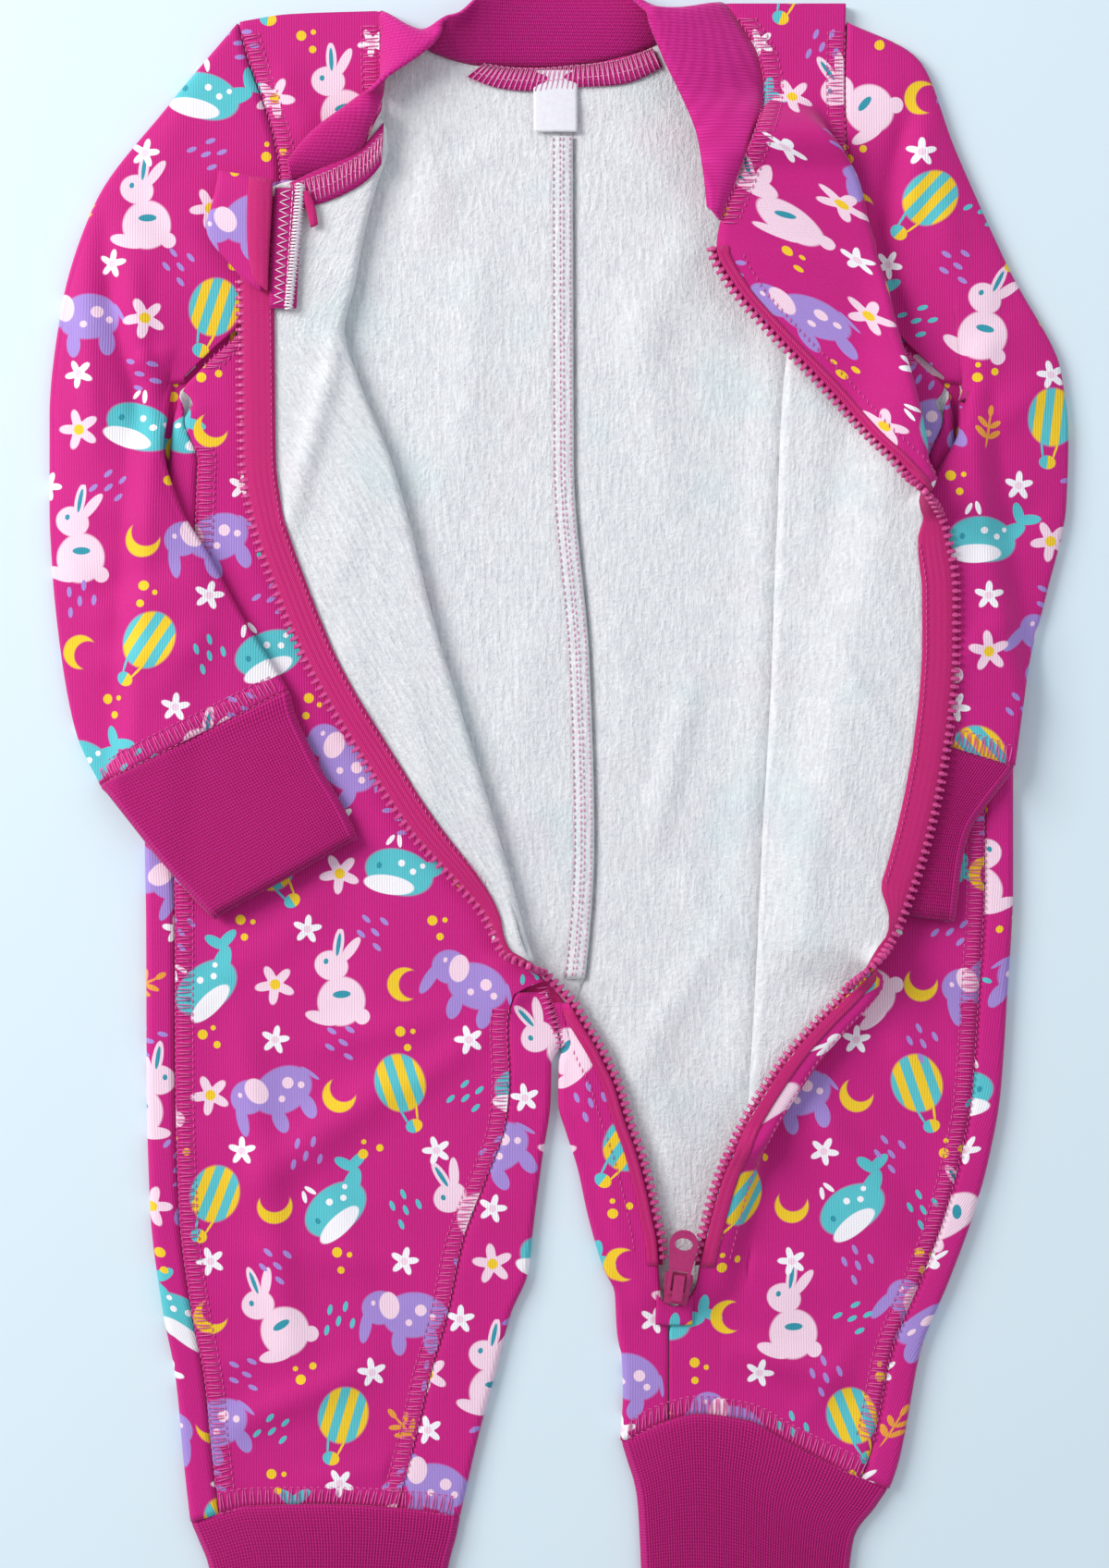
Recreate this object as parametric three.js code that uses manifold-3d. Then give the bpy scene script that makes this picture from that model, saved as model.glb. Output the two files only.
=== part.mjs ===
// Infant one-piece base layer, laid open on a table with the zip undone.
// Millimetres, +Z up, +Y towards the collar, +X towards the wearer's left.
// The cloth rests on z = 0. Every panel is a wall of cloth swept along a folded section:
// the section starts at a sewn edge, runs flat, and turns back on itself at each fold.

import * as THREE from 'three';
import Module from 'manifold-3d';
import { mergeVertices } from 'three/addons/utils/BufferGeometryUtils.js';

// driving sizes
const cloth = 2;            // fleece-lined knit
const ribCloth = 2.4;       // double rib
const tapeCloth = 1;        // zip tape, label and small patches
const seamGap = 0.35;       // between sewn pieces
const backLevel = cloth / 2;           // middle of the back cloth
const frontLevel = backLevel + 2.9;    // middle of the front cloth
const foldRadius = 1.9;                // side folds and turned-back folds
const innerFoldRadius = (frontLevel - backLevel) / 2;
const sideRun = 8;          // cloth that wraps from the side fold to the side seam
const tuckRun = 5;          // shortest run between two folds
const tapeWidth = 11;
const chainHalfWidth = 1.7;
const chainHalfHeight = 1.3;

const colours = {
  print: 0xbe1e78, rib: 0xb92d7d, fleece: 0xe8e4ec, tape: 0xc8146e,
  teeth: 0xc83c82, metal: 0xb0286e, label: 0xf0eef4,
};

// small maths
const clamp01 = (value) => Math.min(1, Math.max(0, value));
const smooth = (value) => clamp01(value) ** 2 * (3 - 2 * clamp01(value));
const mix = (a, b, t) => a + (b - a) * t;

function table(names, rows) {
  const keys = names.split(' ');
  return rows.map((row) => Object.fromEntries(keys.map((key, i) => [key, row[i]])));
}

// monotone cubic through a table's rows, whose first column falls or rises steadily
function reader(rows, key) {
  const last = rows.length - 1;
  const falling = rows[0][key] > rows[last][key];
  const list = falling ? [...rows].reverse() : rows;
  const slope = (i, name) => (list[i + 1][name] - list[i][name]) / (list[i + 1][key] - list[i][key]);
  const tangent = (i, name) => {
    if (i === 0) return slope(0, name);
    if (i === last) return slope(last - 1, name);
    const before = slope(i - 1, name);
    const after = slope(i, name);
    return before * after <= 0 ? 0 : (2 * before * after) / (before + after);
  };
  return (place, name) => {
    if (place <= list[0][key]) return list[0][name];
    if (place >= list[last][key]) return list[last][name];
    let i = 0;
    while (list[i + 1][key] < place) i += 1;
    const span = list[i + 1][key] - list[i][key];
    const t = (place - list[i][key]) / span;
    const a = tangent(i, name) * span;
    const b = tangent(i + 1, name) * span;
    const low = list[i][name];
    const high = list[i + 1][name];
    const bent = (2 * t - 3) * t * t;
    return low * (1 + bent) - high * bent + a * t * (1 - t) ** 2 - b * t * t * (1 - t);
  };
}

// rows that neighbouring pieces share, so that their sewn edges run parallel
const sharedRows = [
  289, 276, 258, 241, 230, 209, 190, 172, 161, 151, 147, 143, 139, 122, 99, 72, 52, 36, 8, -19, -36, -58, -79,
  -92, -113, -128, -152, -174, -202, -224, -240, -255, -277,
];

// a curve read at the shared rows, straight between them
function sewnLine(read, name = 'x') {
  return (y) => {
    const next = sharedRows.findIndex((row) => row <= y);
    if (next <= 0) return read(y, name);
    const [from, to] = [sharedRows[next - 1], sharedRows[next]];
    return mix(read(from, name), read(to, name), (y - from) / (to - from));
  };
}

// a table's own rows and the shared rows between its first and last, from the top down
function stations(rows, extra = []) {
  const own = rows.map((row) => row.y);
  const [top, bottom] = [own[0], own[own.length - 1]];
  const within = (list, gap) => list.filter((y) => y < top && y > bottom
    && own.every((row) => Math.abs(row - y) > gap));
  return [...new Set([...own, ...within(sharedRows, 0), ...within(extra, 1)])].sort((a, b) => b - a);
}

function normalsOf(grid, closed = false) {
  const columns = grid[0].length;
  const at = (r, c) => grid[r][closed ? (c + columns) % columns : Math.min(columns - 1, Math.max(0, c))];
  return grid.map((row, r) => row.map((point, c) => {
    const along = at(Math.min(grid.length - 1, r + 1), c).clone().sub(at(Math.max(0, r - 1), c));
    const across = at(r, c + 1).clone().sub(at(r, c - 1));
    return across.cross(along).normalize();
  }));
}

// a wall of cloth round a grid of points in the middle of its thickness
function wall(grid, thickness, closed = false) {
  const rows = grid.length;
  const columns = grid[0].length;
  const normals = normalsOf(grid, closed);
  const moved = (distance) => grid.flatMap((row, r) => row.map((p, c) => p.clone().addScaledVector(normals[r][c], distance)));
  const outer = moved(thickness / 2);
  const inner = moved(-thickness / 2);
  const points = [...outer, ...inner];
  const half = outer.length;
  const faces = [];
  const quad = (a, b, c, d) => faces.push(a, b, c, a, c, d);
  const id = (r, c) => r * columns + (closed ? c % columns : c);
  const spans = closed ? columns : columns - 1;
  for (let c = 0; c < spans; c += 1) {
    for (let r = 0; r < rows - 1; r += 1) {
      quad(id(r, c), id(r, c + 1), id(r + 1, c + 1), id(r + 1, c));
      quad(half + id(r, c), half + id(r + 1, c), half + id(r + 1, c + 1), half + id(r, c + 1));
    }
    quad(id(0, c + 1), id(0, c), half + id(0, c), half + id(0, c + 1));
    quad(id(rows - 1, c), id(rows - 1, c + 1), half + id(rows - 1, c + 1), half + id(rows - 1, c));
  }
  if (!closed) {
    for (let r = 0; r < rows - 1; r += 1) {
      quad(id(r, 0), id(r + 1, 0), half + id(r + 1, 0), half + id(r, 0));
      quad(id(r + 1, columns - 1), id(r, columns - 1), half + id(r, columns - 1), half + id(r + 1, columns - 1));
    }
  }
  return solid(points, faces);
}

function solid(points, faces) {
  const place = [];
  for (const p of points) place.push(p.x, p.y, Math.max(0, p.z));
  let volume = 0;
  const corner = (i) => new THREE.Vector3(place[3 * i], place[3 * i + 1], place[3 * i + 2]);
  for (let i = 0; i < faces.length; i += 3) {
    volume += corner(faces[i]).dot(corner(faces[i + 1]).cross(corner(faces[i + 2])));
  }
  if (volume < 0) {
    for (let i = 0; i < faces.length; i += 3) [faces[i], faces[i + 1]] = [faces[i + 1], faces[i]];
  }
  const geometry = new THREE.BufferGeometry();
  geometry.setAttribute('position', new THREE.Float32BufferAttribute(place, 3));
  geometry.setIndex(faces);
  return geometry;
}

// a section walked from its first edge: each part is a length of cloth that turns evenly
function walk(x, z, facing, parts) {
  const points = [{ x, z, part: 0 }];
  let heading = 0;
  parts.forEach(({ length, turn = 0, steps }, part) => {
    const bend = turn / steps;
    const chord = bend === 0 ? length / steps : (2 * (length / turn) * Math.sin(bend / 2));
    for (let k = 0; k < steps; k += 1) {
      const last = points[points.length - 1];
      const angle = heading + bend / 2;
      points.push({ x: last.x + facing * chord * Math.cos(angle), z: last.z + chord * Math.sin(angle), part });
      heading += bend;
    }
  });
  return points;
}

// outlines of the body and legs
const centreBack = table('y x', [
  [273, 7], [122, 7.4], [45, 13.4], [-21, 15.2], [-71, 12], [-94, 3],
]);
const armholeRight = table('y x', [
  [289, -119.5], [275.8, -116.2], [258.3, -110.3], [240.8, -105.7], [230.3, -104.3], [209, -105],
  [190, -110], [172.6, -118.3], [162, -129.5], [151, -140.4],
]);
const armholeLeft = table('y x', [
  [295, 110.6], [270, 110], [250, 110.3], [228, 112], [209, 113.5], [190, 118], [172, 127],
  [160, 138], [151, 148],
]);
const outerRight = table('y x', [
  [150, -142], [122, -145.5], [100, -146.5], [60, -149], [20, -152], [-20, -154.7], [-53, -154.2],
  [-115, -154], [-162, -152.6], [-201, -147.7], [-224, -143.2], [-255, -140], [-277, -137.4],
]);
const outerLeft = table('y x', [
  [150, 149.5], [122, 152], [87, 157], [52, 164], [5, 173.3], [-37, 173.3], [-84, 170.8], [-118, 168.4],
  [-140, 164.5], [-162, 158.6], [-188, 149.1], [-214, 138.3], [-232, 133.7], [-244, 130.5], [-255, 126.4],
]);
const innerRight = table('y x', [
  [-95, 0.6], [-98.4, -0.8], [-104, -2], [-121, -2.5], [-142, -5.6], [-168, -9], [-185, -10.9],
  [-201, -17.5], [-224, -23.5], [-247, -29.8], [-277, -36.8],
]);
const innerLeft = table('y x', [
  [-95, 1.6], [-99.8, 2.4], [-104, 2.6], [-121, 2.3], [-132, 5.3], [-145, 9.5], [-164, 13.7],
  [-184, 19.6], [-193, 23.8], [-207, 24.6], [-221, 26.6], [-235, 27], [-255, 26],
]);
const inseamRight = table('y x', [
  [-70, -5.3], [-79.5, -14.8], [-91.7, -17.6], [-112.7, -16.8], [-127.8, -18.2], [-152.6, -26.6],
  [-174.3, -34.7], [-202, -40.6], [-224, -46.9], [-252, -53.2], [-277, -59.5],
]);
const ankleRight = table('x y', [
  [-138, -280], [-116.9, -274.4], [-85.8, -273.7], [-54.6, -275.5], [-36.8, -277.6],
]);
const ankleLeft = table('x y', [
  [25.6, -249.6], [32.6, -246], [42, -242], [53.9, -239.4], [73.5, -242], [88.2, -249.6],
  [106.8, -259], [127.4, -267.4],
]);
const backNeck = table('x y', [
  [-119, 289], [-66, 292], [-56, 284.5], [-44, 277], [-28, 272.9], [0, 272], [26, 276], [40, 281.5],
  [53, 291], [62, 296], [110, 296],
]);
const shoulderRight = table('x y', [[-120, 289], [-100, 292], [-66, 293.2]]);
const hemRows = 45;         // length over which the rows bend to follow an edge that isn't level
const ankleRowRight = -277;
const ankleRowLeft = -255;
const neckRow = 292;
const shoulderRow = 292;

const centreBackX = reader(centreBack, 'y');
const armRightX = sewnLine(reader(armholeRight, 'y'));
const armLeftX = sewnLine(reader(armholeLeft, 'y'));
const outerRightX = sewnLine(reader(outerRight, 'y'));
const outerLeftX = sewnLine(reader(outerLeft, 'y'));
const innerRightX = reader(innerRight, 'y');
const innerLeftX = reader(innerLeft, 'y');
const inseamRightX = reader(inseamRight, 'y');
const ankleRightY = reader(ankleRight, 'x');
const ankleLeftY = reader(ankleLeft, 'x');
const backNeckY = reader(backNeck, 'x');
const shoulderRightY = reader(shoulderRight, 'x');

// rows near a hem, neck or shoulder slide along y so that the last one lies on that edge
function bend(x, y, edges) {
  let shifted = y;
  for (const { row, line, reach = hemRows } of edges) {
    const weight = 1 - smooth(Math.abs(y - row) / reach);
    shifted += weight * (line(x, 'y') - row);
  }
  return shifted;
}
const legHemRight = { row: ankleRowRight, line: ankleRightY };
const legHemLeft = { row: ankleRowLeft, line: ankleLeftY };
const backNeckEdge = { row: neckRow, line: backNeckY, reach: 60 };
const shoulderEdge = { row: shoulderRow, line: shoulderRightY, reach: 30 };

// large soft ridges of the upper cloth: a line, its half width and its height
const ridges = table('fromX fromY toX toY width height', [
  [-60, -112, -112, -150, 9, 2.2],
  [-118, -96, -100, -215, 8, 1.8],
  [-72, -222, -124, -244, 7, 1.6],
  [96, -122, 136, -172, 8, 2.2],
  [70, -214, 112, -226, 7, 1.8],
  [128, -96, 150, -128, 7, 1.6],
  [-106, 270, -92, 248, 7, 1.6],
]);
function relief(x, y) {
  let height = 0;
  for (const ridge of ridges) {
    const alongX = ridge.toX - ridge.fromX;
    const alongY = ridge.toY - ridge.fromY;
    const length = Math.hypot(alongX, alongY);
    const share = ((x - ridge.fromX) * alongX + (y - ridge.fromY) * alongY) / length ** 2;
    const off = Math.abs((x - ridge.fromX) * alongY - (y - ridge.fromY) * alongX) / length;
    const ends = smooth((share + 0.25) / 0.5) * smooth((1.25 - share) / 0.5);
    height += ridge.height * ends * Math.exp(-((off / ridge.width) ** 2));
  }
  return height;
}

// back halves: centre seam or inner leg, flat to the side, round the side fold, up to the side seam
const legStartRow = -97;
const arcSteps = 3;

// the cloth that wraps over the side grows from the armpit down
const armpitRow = 151;
const wrapAt = (y) => 1 + (sideRun - 1) * smooth((armpitRow - 12 - y) / 17);
const sideTurn = (y) => smooth((armpitRow - y) / 12);
const armpitEase = 3.8;     // room beside the cloth that is still turning over

function backHalf({ facing, outer, armhole, inner, hem, edges }) {
  const rows = [neckRow, legStartRow + 3, legStartRow - 1, legStartRow - 9, hem].map((y) => ({ y }));
  return stations(rows).map((y) => {
    const up = sideTurn(y);
    const seam = centreBackX(y, 'x') + facing * seamGap / 2;
    const leg = inner(y, 'x') + facing * (innerFoldRadius + 2 * seamGap + cloth / 2);
    const start = mix(seam, leg, smooth((legStartRow + 3 - y) / 4));
    const end = y > armpitRow - 1 ? armhole(y) : outer(y);
    const reach = Math.abs(end - start);
    const flat = mix(reach - Math.PI * foldRadius - wrapAt(y), reach - foldRadius, up);
    const parts = [
      { length: flat, steps: 4 },
      { length: Math.PI * foldRadius, turn: up * Math.PI, steps: arcSteps },
      { length: wrapAt(y), steps: 1 },
    ];
    return walk(start, backLevel, facing, parts).map((p) => new THREE.Vector3(p.x, bend(p.x, y, edges), p.z));
  });
}

// fronts: the section starts at the armhole or side seam and ends at the neck seam or zip edge
// turned and doubled are shares of a half turn; a row with no fold place is flat all the way
const frontRightFolds = table('y fold edge turned', [
  [292, null, -66.2, 0], [276, null, -66.2, 0], [258, null, -65.5, 0], [246, -64.6, -70, 1],
  [241, -64.2, -72, 1], [232.4, -66.5, -85, 1], [230, -67.4, -92.6, 1], [225.5, -68.8, -108, 1],
  [221, -70, -113.5, 1], [209, -73, -115.6, 1], [190, -76.5, -117, 1], [172, -80.5, -116.8, 1],
  [151, -74.4, -116.6, 1], [147, -73, -116.6, 1], [143, -71.2, -116.5, 1], [139, -69.3, -116.4, 1], [122, -62.7, -116.2, 1], [99, -56, -112.4, 1],
  [72, -49.4, -103.2, 1], [52, -44, -95, 1], [36, -39, -86.8, 1], [8, -30.5, -69.8, 1],
  [-19, -22.4, -52, 1], [-36, -17.5, -36.5, 1], [-50, -13.8, -24.6, 1], [-58, -11.8, -20.5, 1],
  [-64, -9.6, -17.6, 1], [-74, null, -4, 0], [-79, null, -14.9, 0], [-92, null, -18, 0],
  [-113, null, -17.2, 0], [-128, null, -18.6, 0], [-152, null, -27, 0], [-174, null, -35.1, 0],
  [-202, null, -41, 0], [-224, null, -47.3, 0], [-240, null, -50.9, 0], [-255, null, -54.4, 0], [-277, null, -59.9, 0],
]);
const frontLeftFolds = table('y fold ridge edge turned doubled', [
  [296, 102, 0, 64.4, 0, 0], [289, 102, 0, 70, 0, 0], [276, 102, 0, 77.4, 0, 0], [264, 102, 0, 79.4, 0, 0],
  [230, 100.8, 113, 69.6, 1, 1], [209, 95.4, 118.6, 61.8, 1, 1], [202, 94.2, 120.6, 61, 1, 1],
  [190, 92.6, 123.8, 66.6, 1, 1], [172, 90.3, 128, 81.6, 1, 1], [151, 87.7, 134, 101.8, 1, 1],
  [147, 87.5, 135, 105.4, 1, 1], [143, 87.3, 136, 109, 1, 1], [139, 87, 136.9, 112.6, 1, 1],
  [130, 86.4, 138.8, 120.4, 1, 1], [118, 86, 141, 131.8, 1, 1], [99, 85.4, 0, 144, 1, 0],
  [92, 85, 0, 146, 1, 0], [72, 84.2, 0, 149, 1, 0], [52, 83.6, 0, 149, 1, 0], [36, 83, 0, 148.2, 1, 0],
  [8, 81.4, 0, 144.6, 1, 0], [-19, 79.8, 0, 139, 1, 0], [-36, 79, 0, 134, 1, 0], [-58, 78, 0, 125.4, 1, 0],
  [-79, 77, 121.5, 110.8, 1, 1], [-92, 76.2, 110, 98.4, 1, 1], [-104, 75.4, 99.6, 88, 1, 1],
  [-113, 74.9, 93.4, 81.8, 1, 1], [-128, 74, 84, 72.6, 1, 1], [-144, null, 0, 65.2, 0.4, 0.4],
  [-152, null, 0, 62.4, 0.32, 0.32], [-174, null, 0, 56.7, 0.22, 0.22],
  [-182, null, 0, 54.8, 0.17, 0.17], [-190, null, 0, 53.4, 0.12, 0.12],
  [-202, null, 0, 45.4, 0, 0], [-208, null, 0, 43.6, 0, 0], [-216, null, 0, 43.6, 0, 0],
  [-224, null, 0, 43.6, 0, 0], [-240, null, 0, 43.6, 0, 0], [-255, null, 0, 43.6, 0, 0],
]);
// rows added where a fold opens or closes
const turningRight = [255, 252, 249, -66, -69, -71.5];
const turningLeft = [257, 250, 243.5, 237, 112, 108.5, 105, -61, -63, -65, -67.5, -71, -75, -133, -138];

const ridgeRadius = 2.4;    // second fold, whose two layers hold the tape between them
const arcLength = Math.PI * foldRadius;
const ridgeLength = Math.PI * ridgeRadius;
const arcAdvance = (length, angle) => (angle === 0 ? length : (length / angle) * Math.sin(angle));
const openRun = 2;          // run between two folds where they have opened out

function sectionLengths({ fold, ridge, edge, turned, doubled }, start) {
  const total = Math.abs(edge - start);
  const angle = turned * Math.PI;
  const twoFolds = doubled !== undefined;
  let [first, middle, last] = [0, openRun, tuckRun];
  if (turned === 1) {
    first = Math.abs(fold - start) - foldRadius;
    const back = Math.abs(edge - fold) - foldRadius;
    middle = twoFolds ? back - ridgeLength - last : back;
    if (doubled === 1) {
      middle = Math.abs(ridge - fold) - foldRadius - ridgeRadius;
      last = Math.abs(ridge - edge) - ridgeRadius;
    }
  } else {
    const folds = arcAdvance(arcLength, angle) + (twoFolds ? arcAdvance(ridgeLength, angle) : 0);
    const rest = total - folds - middle * Math.cos(angle);
    first = fold === null ? rest - (twoFolds ? last : 0) : Math.abs(fold - start);
    last = rest - first;
  }
  return { first, middle, last, turnOne: angle, turnTwo: -(doubled ?? 0) * Math.PI };
}

// how the side seam runs over the body: the front starts where the back's wrap ends
const seamIn = (y) => {
  const turn = sideTurn(y);
  return (foldRadius + wrapAt(y) + seamGap) * turn + 4 * armpitEase * turn * (1 - turn);
};
const frontStartRight = (y) => (y > armpitRow - 1 ? armRightX(y) : outerRightX(y) + seamIn(y));
const frontStartLeft = (y) => (y > armpitRow - 1 ? armLeftX(y) : outerLeftX(y) - seamIn(y));
const sideRise = backLevel + 2 * foldRadius - frontLevel;

// the left sleeve lies between the left front and its turned-back zip edge, which it lifts
const sleeveUnderFold = table('y x', [
  [215, 150], [190, 142], [150, 138], [122, 132], [90, 125], [60, 119], [20, 113], [-20, 103], [-56, 101],
]);
const sleeveUnderX = reader(sleeveUnderFold, 'y');
const sleeveLift = 6.4;
const crotchLift = 2.4;
function liftLeft(x, y) {
  const over = smooth((x - sleeveUnderX(y, 'x') + 27) / 25);
  const along = smooth((y + 78) / 20) * (1 - smooth((y - 190) / 40));
  return sleeveLift * over * along;
}
const liftRight = (x, y) => crotchLift * smooth((-y - 40) / 20) * (1 - smooth((-y - 79) / 12)) * smooth((x + 32) / 16);

function frontHalf({ rows, turning, startAt, facing, edges, liftAt, steps }) {
  const lengths = rows.map((row) => ({ y: row.y, ...sectionLengths(row, startAt(row.y)) }));
  const read = reader(lengths, 'y');
  return stations(rows, turning).map((y) => {
    const start = startAt(y);
    const parts = [
      { length: read(y, 'first'), steps: steps.first },
      { length: arcLength, turn: read(y, 'turnOne'), steps: arcSteps },
      { length: read(y, 'middle'), steps: steps.middle },
    ];
    if (steps.last) {
      parts.push({ length: ridgeLength, turn: read(y, 'turnTwo'), steps: arcSteps });
      parts.push({ length: read(y, 'last'), steps: steps.last });
    }
    return walk(start, frontLevel, facing, parts).map((p) => {
      const fromSeam = Math.abs(p.x - start);
      const side = sideRise * sideTurn(y) * (1 - smooth(fromSeam / 14));
      const rise = p.part === 0 ? side + relief(p.x, y) * smooth(fromSeam / 12) : 0;
      const lift = p.part >= 2 || read(y, 'turnOne') < 3 ? liftAt(p.x, y) : 0;
      return new THREE.Vector3(p.x, bend(p.x, y, edges), p.z + rise + lift);
    });
  });
}

const backRight = backHalf({
  facing: -1, outer: outerRightX, armhole: armRightX, inner: innerRightX, hem: ankleRowRight,
  edges: [backNeckEdge, legHemRight],
});
const backLeft = backHalf({
  facing: 1, outer: outerLeftX, armhole: armLeftX, inner: innerLeftX, hem: ankleRowLeft,
  edges: [backNeckEdge, legHemLeft],
});
const frontRight = frontHalf({
  rows: frontRightFolds, turning: turningRight, startAt: frontStartRight, facing: 1, edges: [shoulderEdge, legHemRight], liftAt: liftRight,
  steps: { first: 5, middle: 3 },
});
const frontLeft = frontHalf({
  rows: frontLeftFolds, turning: turningLeft, startAt: frontStartLeft, facing: -1, edges: [legHemLeft], liftAt: liftLeft,
  steps: { first: 4, middle: 3, last: 2 },
});

// inner leg panels: from the inseam or the zip to the inner fold, then down to the back
const crotchRow = -97;
const crotchTurn = (y) => smooth((crotchRow - y) / 9);

function innerLeg({ rows, startAt, endAt, inner, facing, edges, liftAt }) {
  const arc = Math.PI * innerFoldRadius;
  return rows.map((y) => {
    const start = startAt(y);
    const turn = crotchTurn(y);
    const open = Math.abs(endAt(y) - start) - arc;
    const folded = Math.abs(inner(y, 'x') - start) - innerFoldRadius;
    const parts = [
      { length: mix(open, folded, turn), steps: 2 },
      { length: arc, turn: -turn * Math.PI, steps: arcSteps },
    ];
    return walk(start, frontLevel, facing, parts).map((p) => {
      const lift = p.part === 0 ? liftAt(p.x, y) : 0;
      return new THREE.Vector3(p.x, bend(p.x, y, edges), p.z + lift);
    });
  });
}

// the last point of each of a panel's rows, read at any y
function edgeOf(grid) {
  return (y) => {
    const next = Math.max(1, grid.findIndex((row) => row.at(-1).y <= y));
    const above = grid[next - 1].at(-1);
    const below = grid[next].at(-1);
    return above.clone().lerp(below, clamp01((above.y - y) / (above.y - below.y)));
  };
}

const shortSeam = (y) => mix(-4.2, 2.2, (-74 - y) / 24.7);
const rightRows = stations(frontRightFolds, turningRight);
const inseamTop = -79;
const inseamAt = (y) => {
  const next = Math.max(1, rightRows.findIndex((row) => row <= y));
  const share = (rightRows[next - 1] - y) / (rightRows[next - 1] - rightRows[next]);
  return mix(frontRight[next - 1].at(-1).x, frontRight[next].at(-1).x, share) + seamGap;
};
const innerLegRight = innerLeg({
  rows: [...rightRows.filter((y) => y <= inseamTop), crotchRow, -101, -106].sort((a, b) => b - a),
  startAt: inseamAt, endAt: shortSeam, inner: innerRightX, facing: 1, edges: [legHemRight],
  liftAt: (x, y) => liftRight(x, y) * smooth((inseamAt(y) + 8 - x) / 8),
});

// the zip edge of the left inner leg panel and, below the zip, its seam to the left front
const innerZip = table('y x', [
  [-83, 5.6], [-89, 9], [-97, 13.9], [-101, 16.2], [-106, 18.6], [-113, 22], [-128, 26.6], [-139, 30.6],
  [-152, 34.2], [-164, 36.8], [-174, 38.8], [-182, 39.4], [-186, 39.6], [-202, 42.2], [-208, 43.2], [-224, 43.2],
  [-240, 43.2], [-255, 43.2],
]);
const innerZipX = reader(innerZip, 'y');
const innerLegLeft = innerLeg({
  rows: innerZip.map((row) => row.y), startAt: (y) => innerZipX(y, 'x'),
  endAt: (y) => shortSeam(y) + 2 * seamGap, inner: innerLeftX, facing: -1, edges: [legHemLeft],
  liftAt: (x, y) => {
    const reach = Math.min(9, innerZipX(y, 'x') - innerLeftX(y, 'x') - 2);
    return crotchLift * smooth((x - innerLeftX(y, 'x') - innerFoldRadius) / reach) * (1 - smooth((-y - 190) / 16));
  },
});

// zip: tape on the fleece side of each zip edge, and a row of teeth just beyond the edge
function zipRows(grid, facing, widths) {
  const widthAt = reader(widths, 'y');
  const normals = normalsOf(grid);
  return grid.map((row, r) => {
    const outside = (c) => normals[r][c].clone().multiplyScalar(-facing);
    const last = row.length - 1;
    const tangent = row[last].clone().sub(row[last - 1]).normalize();
    const lengths = row.map((p, c) => (c ? p.distanceTo(row[c - 1]) : 0));
    const backFromEdge = (distance) => {
      let [c, left] = [last, distance];
      while (c > 1 && left > lengths[c]) {
        left -= lengths[c];
        c -= 1;
      }
      const share = left / lengths[c];
      return {
        point: row[c].clone().lerp(row[c - 1], share),
        normal: outside(c).lerp(outside(c - 1), share).normalize(),
      };
    };
    const width = widthAt(row[last].y, 'width');
    const places = [0.1, width / 2, width].map(backFromEdge);
    return { edge: row[last], tangent, normal: outside(last), places };
  });
}

const tapeOffset = cloth / 2 + seamGap + tapeCloth / 2;
const tapeOf = (rows) => wall(rows.map(({ places }) => places.map(
  ({ point, normal }) => point.clone().addScaledVector(normal, -tapeOffset))), tapeCloth);

const chainDrop = 0.5;      // the teeth sit between the cloth and its tape
const chainSides = table('out up', [[-1, -1], [-1, 1], [1, 1], [1, -1]]);
function chainOf(rows) {
  const rings = rows.map(({ edge, tangent, normal }) => {
    const centre = edge.clone().addScaledVector(tangent, seamGap + chainHalfWidth).addScaledVector(normal, -chainDrop);
    return chainSides.map(({ out, up }) => centre.clone()
      .addScaledVector(tangent, out * chainHalfWidth).addScaledVector(normal, up * chainHalfHeight));
  });
  const sides = chainSides.length;
  const faces = [];
  for (let r = 0; r < rings.length - 1; r += 1) {
    for (let k = 0; k < sides; k += 1) {
      const [a, b] = [r * sides + k, r * sides + (k + 1) % sides];
      faces.push(a, b, b + sides, a, b + sides, a + sides);
    }
  }
  const end = (rings.length - 1) * sides;
  for (let k = 1; k < sides - 1; k += 1) {
    faces.push(0, k + 1, k, end, end + k, end + k + 1);
  }
  return solid(rings.flat(), faces);
}

// width of tape that shows: narrower where the cloth turns over close to the teeth
const tapeWidthRight = table('y width', [
  [222, tapeWidth], [-19, tapeWidth], [-38, 8], [-50, 4.2], [-60, 1.7], [-84, 1.7], [-100, 2.4], [-113, 4], [-139, tapeWidth],
  [-183, tapeWidth],
]);
const tapeWidthLeft = table('y width', [
  [203, tapeWidth], [158, tapeWidth], [150, 6], [134, 6], [128, 7], [118, 4.2], [103, 4.2], [92, 9.5], [80, tapeWidth],
  [-36, tapeWidth], [-50, 3.4], [-57, 1.2], [-78, 1.2], [-85, 4], [-92, 6.4], [-128, 6.4], [-144, 8], [-160, tapeWidth],
]);
const zipTopRight = 222;
const zipTopLeft = 203;
const zipBottom = -183;
const zipRight = [
  ...zipRows(frontRight, 1, tapeWidthRight).filter(({ edge }) => edge.y <= zipTopRight && edge.y >= -73),
  ...zipRows(innerLegLeft.map((row) => [...row].reverse()), 1, tapeWidthRight).filter(({ edge }) => edge.y >= zipBottom),
];
const zipLeft = zipRows(frontLeft, -1, tapeWidthLeft).filter(({ edge }) => edge.y <= zipTopLeft && edge.y >= zipBottom);

// sleeves and cuffs: flattened tubes, each ring laid between its outer and its inner edge
const armShares = sharedRows.filter((y) => y <= 289 && y >= armpitRow).map((y) => (289 - y) / (289 - armpitRow));
const cuffShares = [0, 0.16, 0.34, 0.5, 0.68, 0.86, 1];

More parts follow.
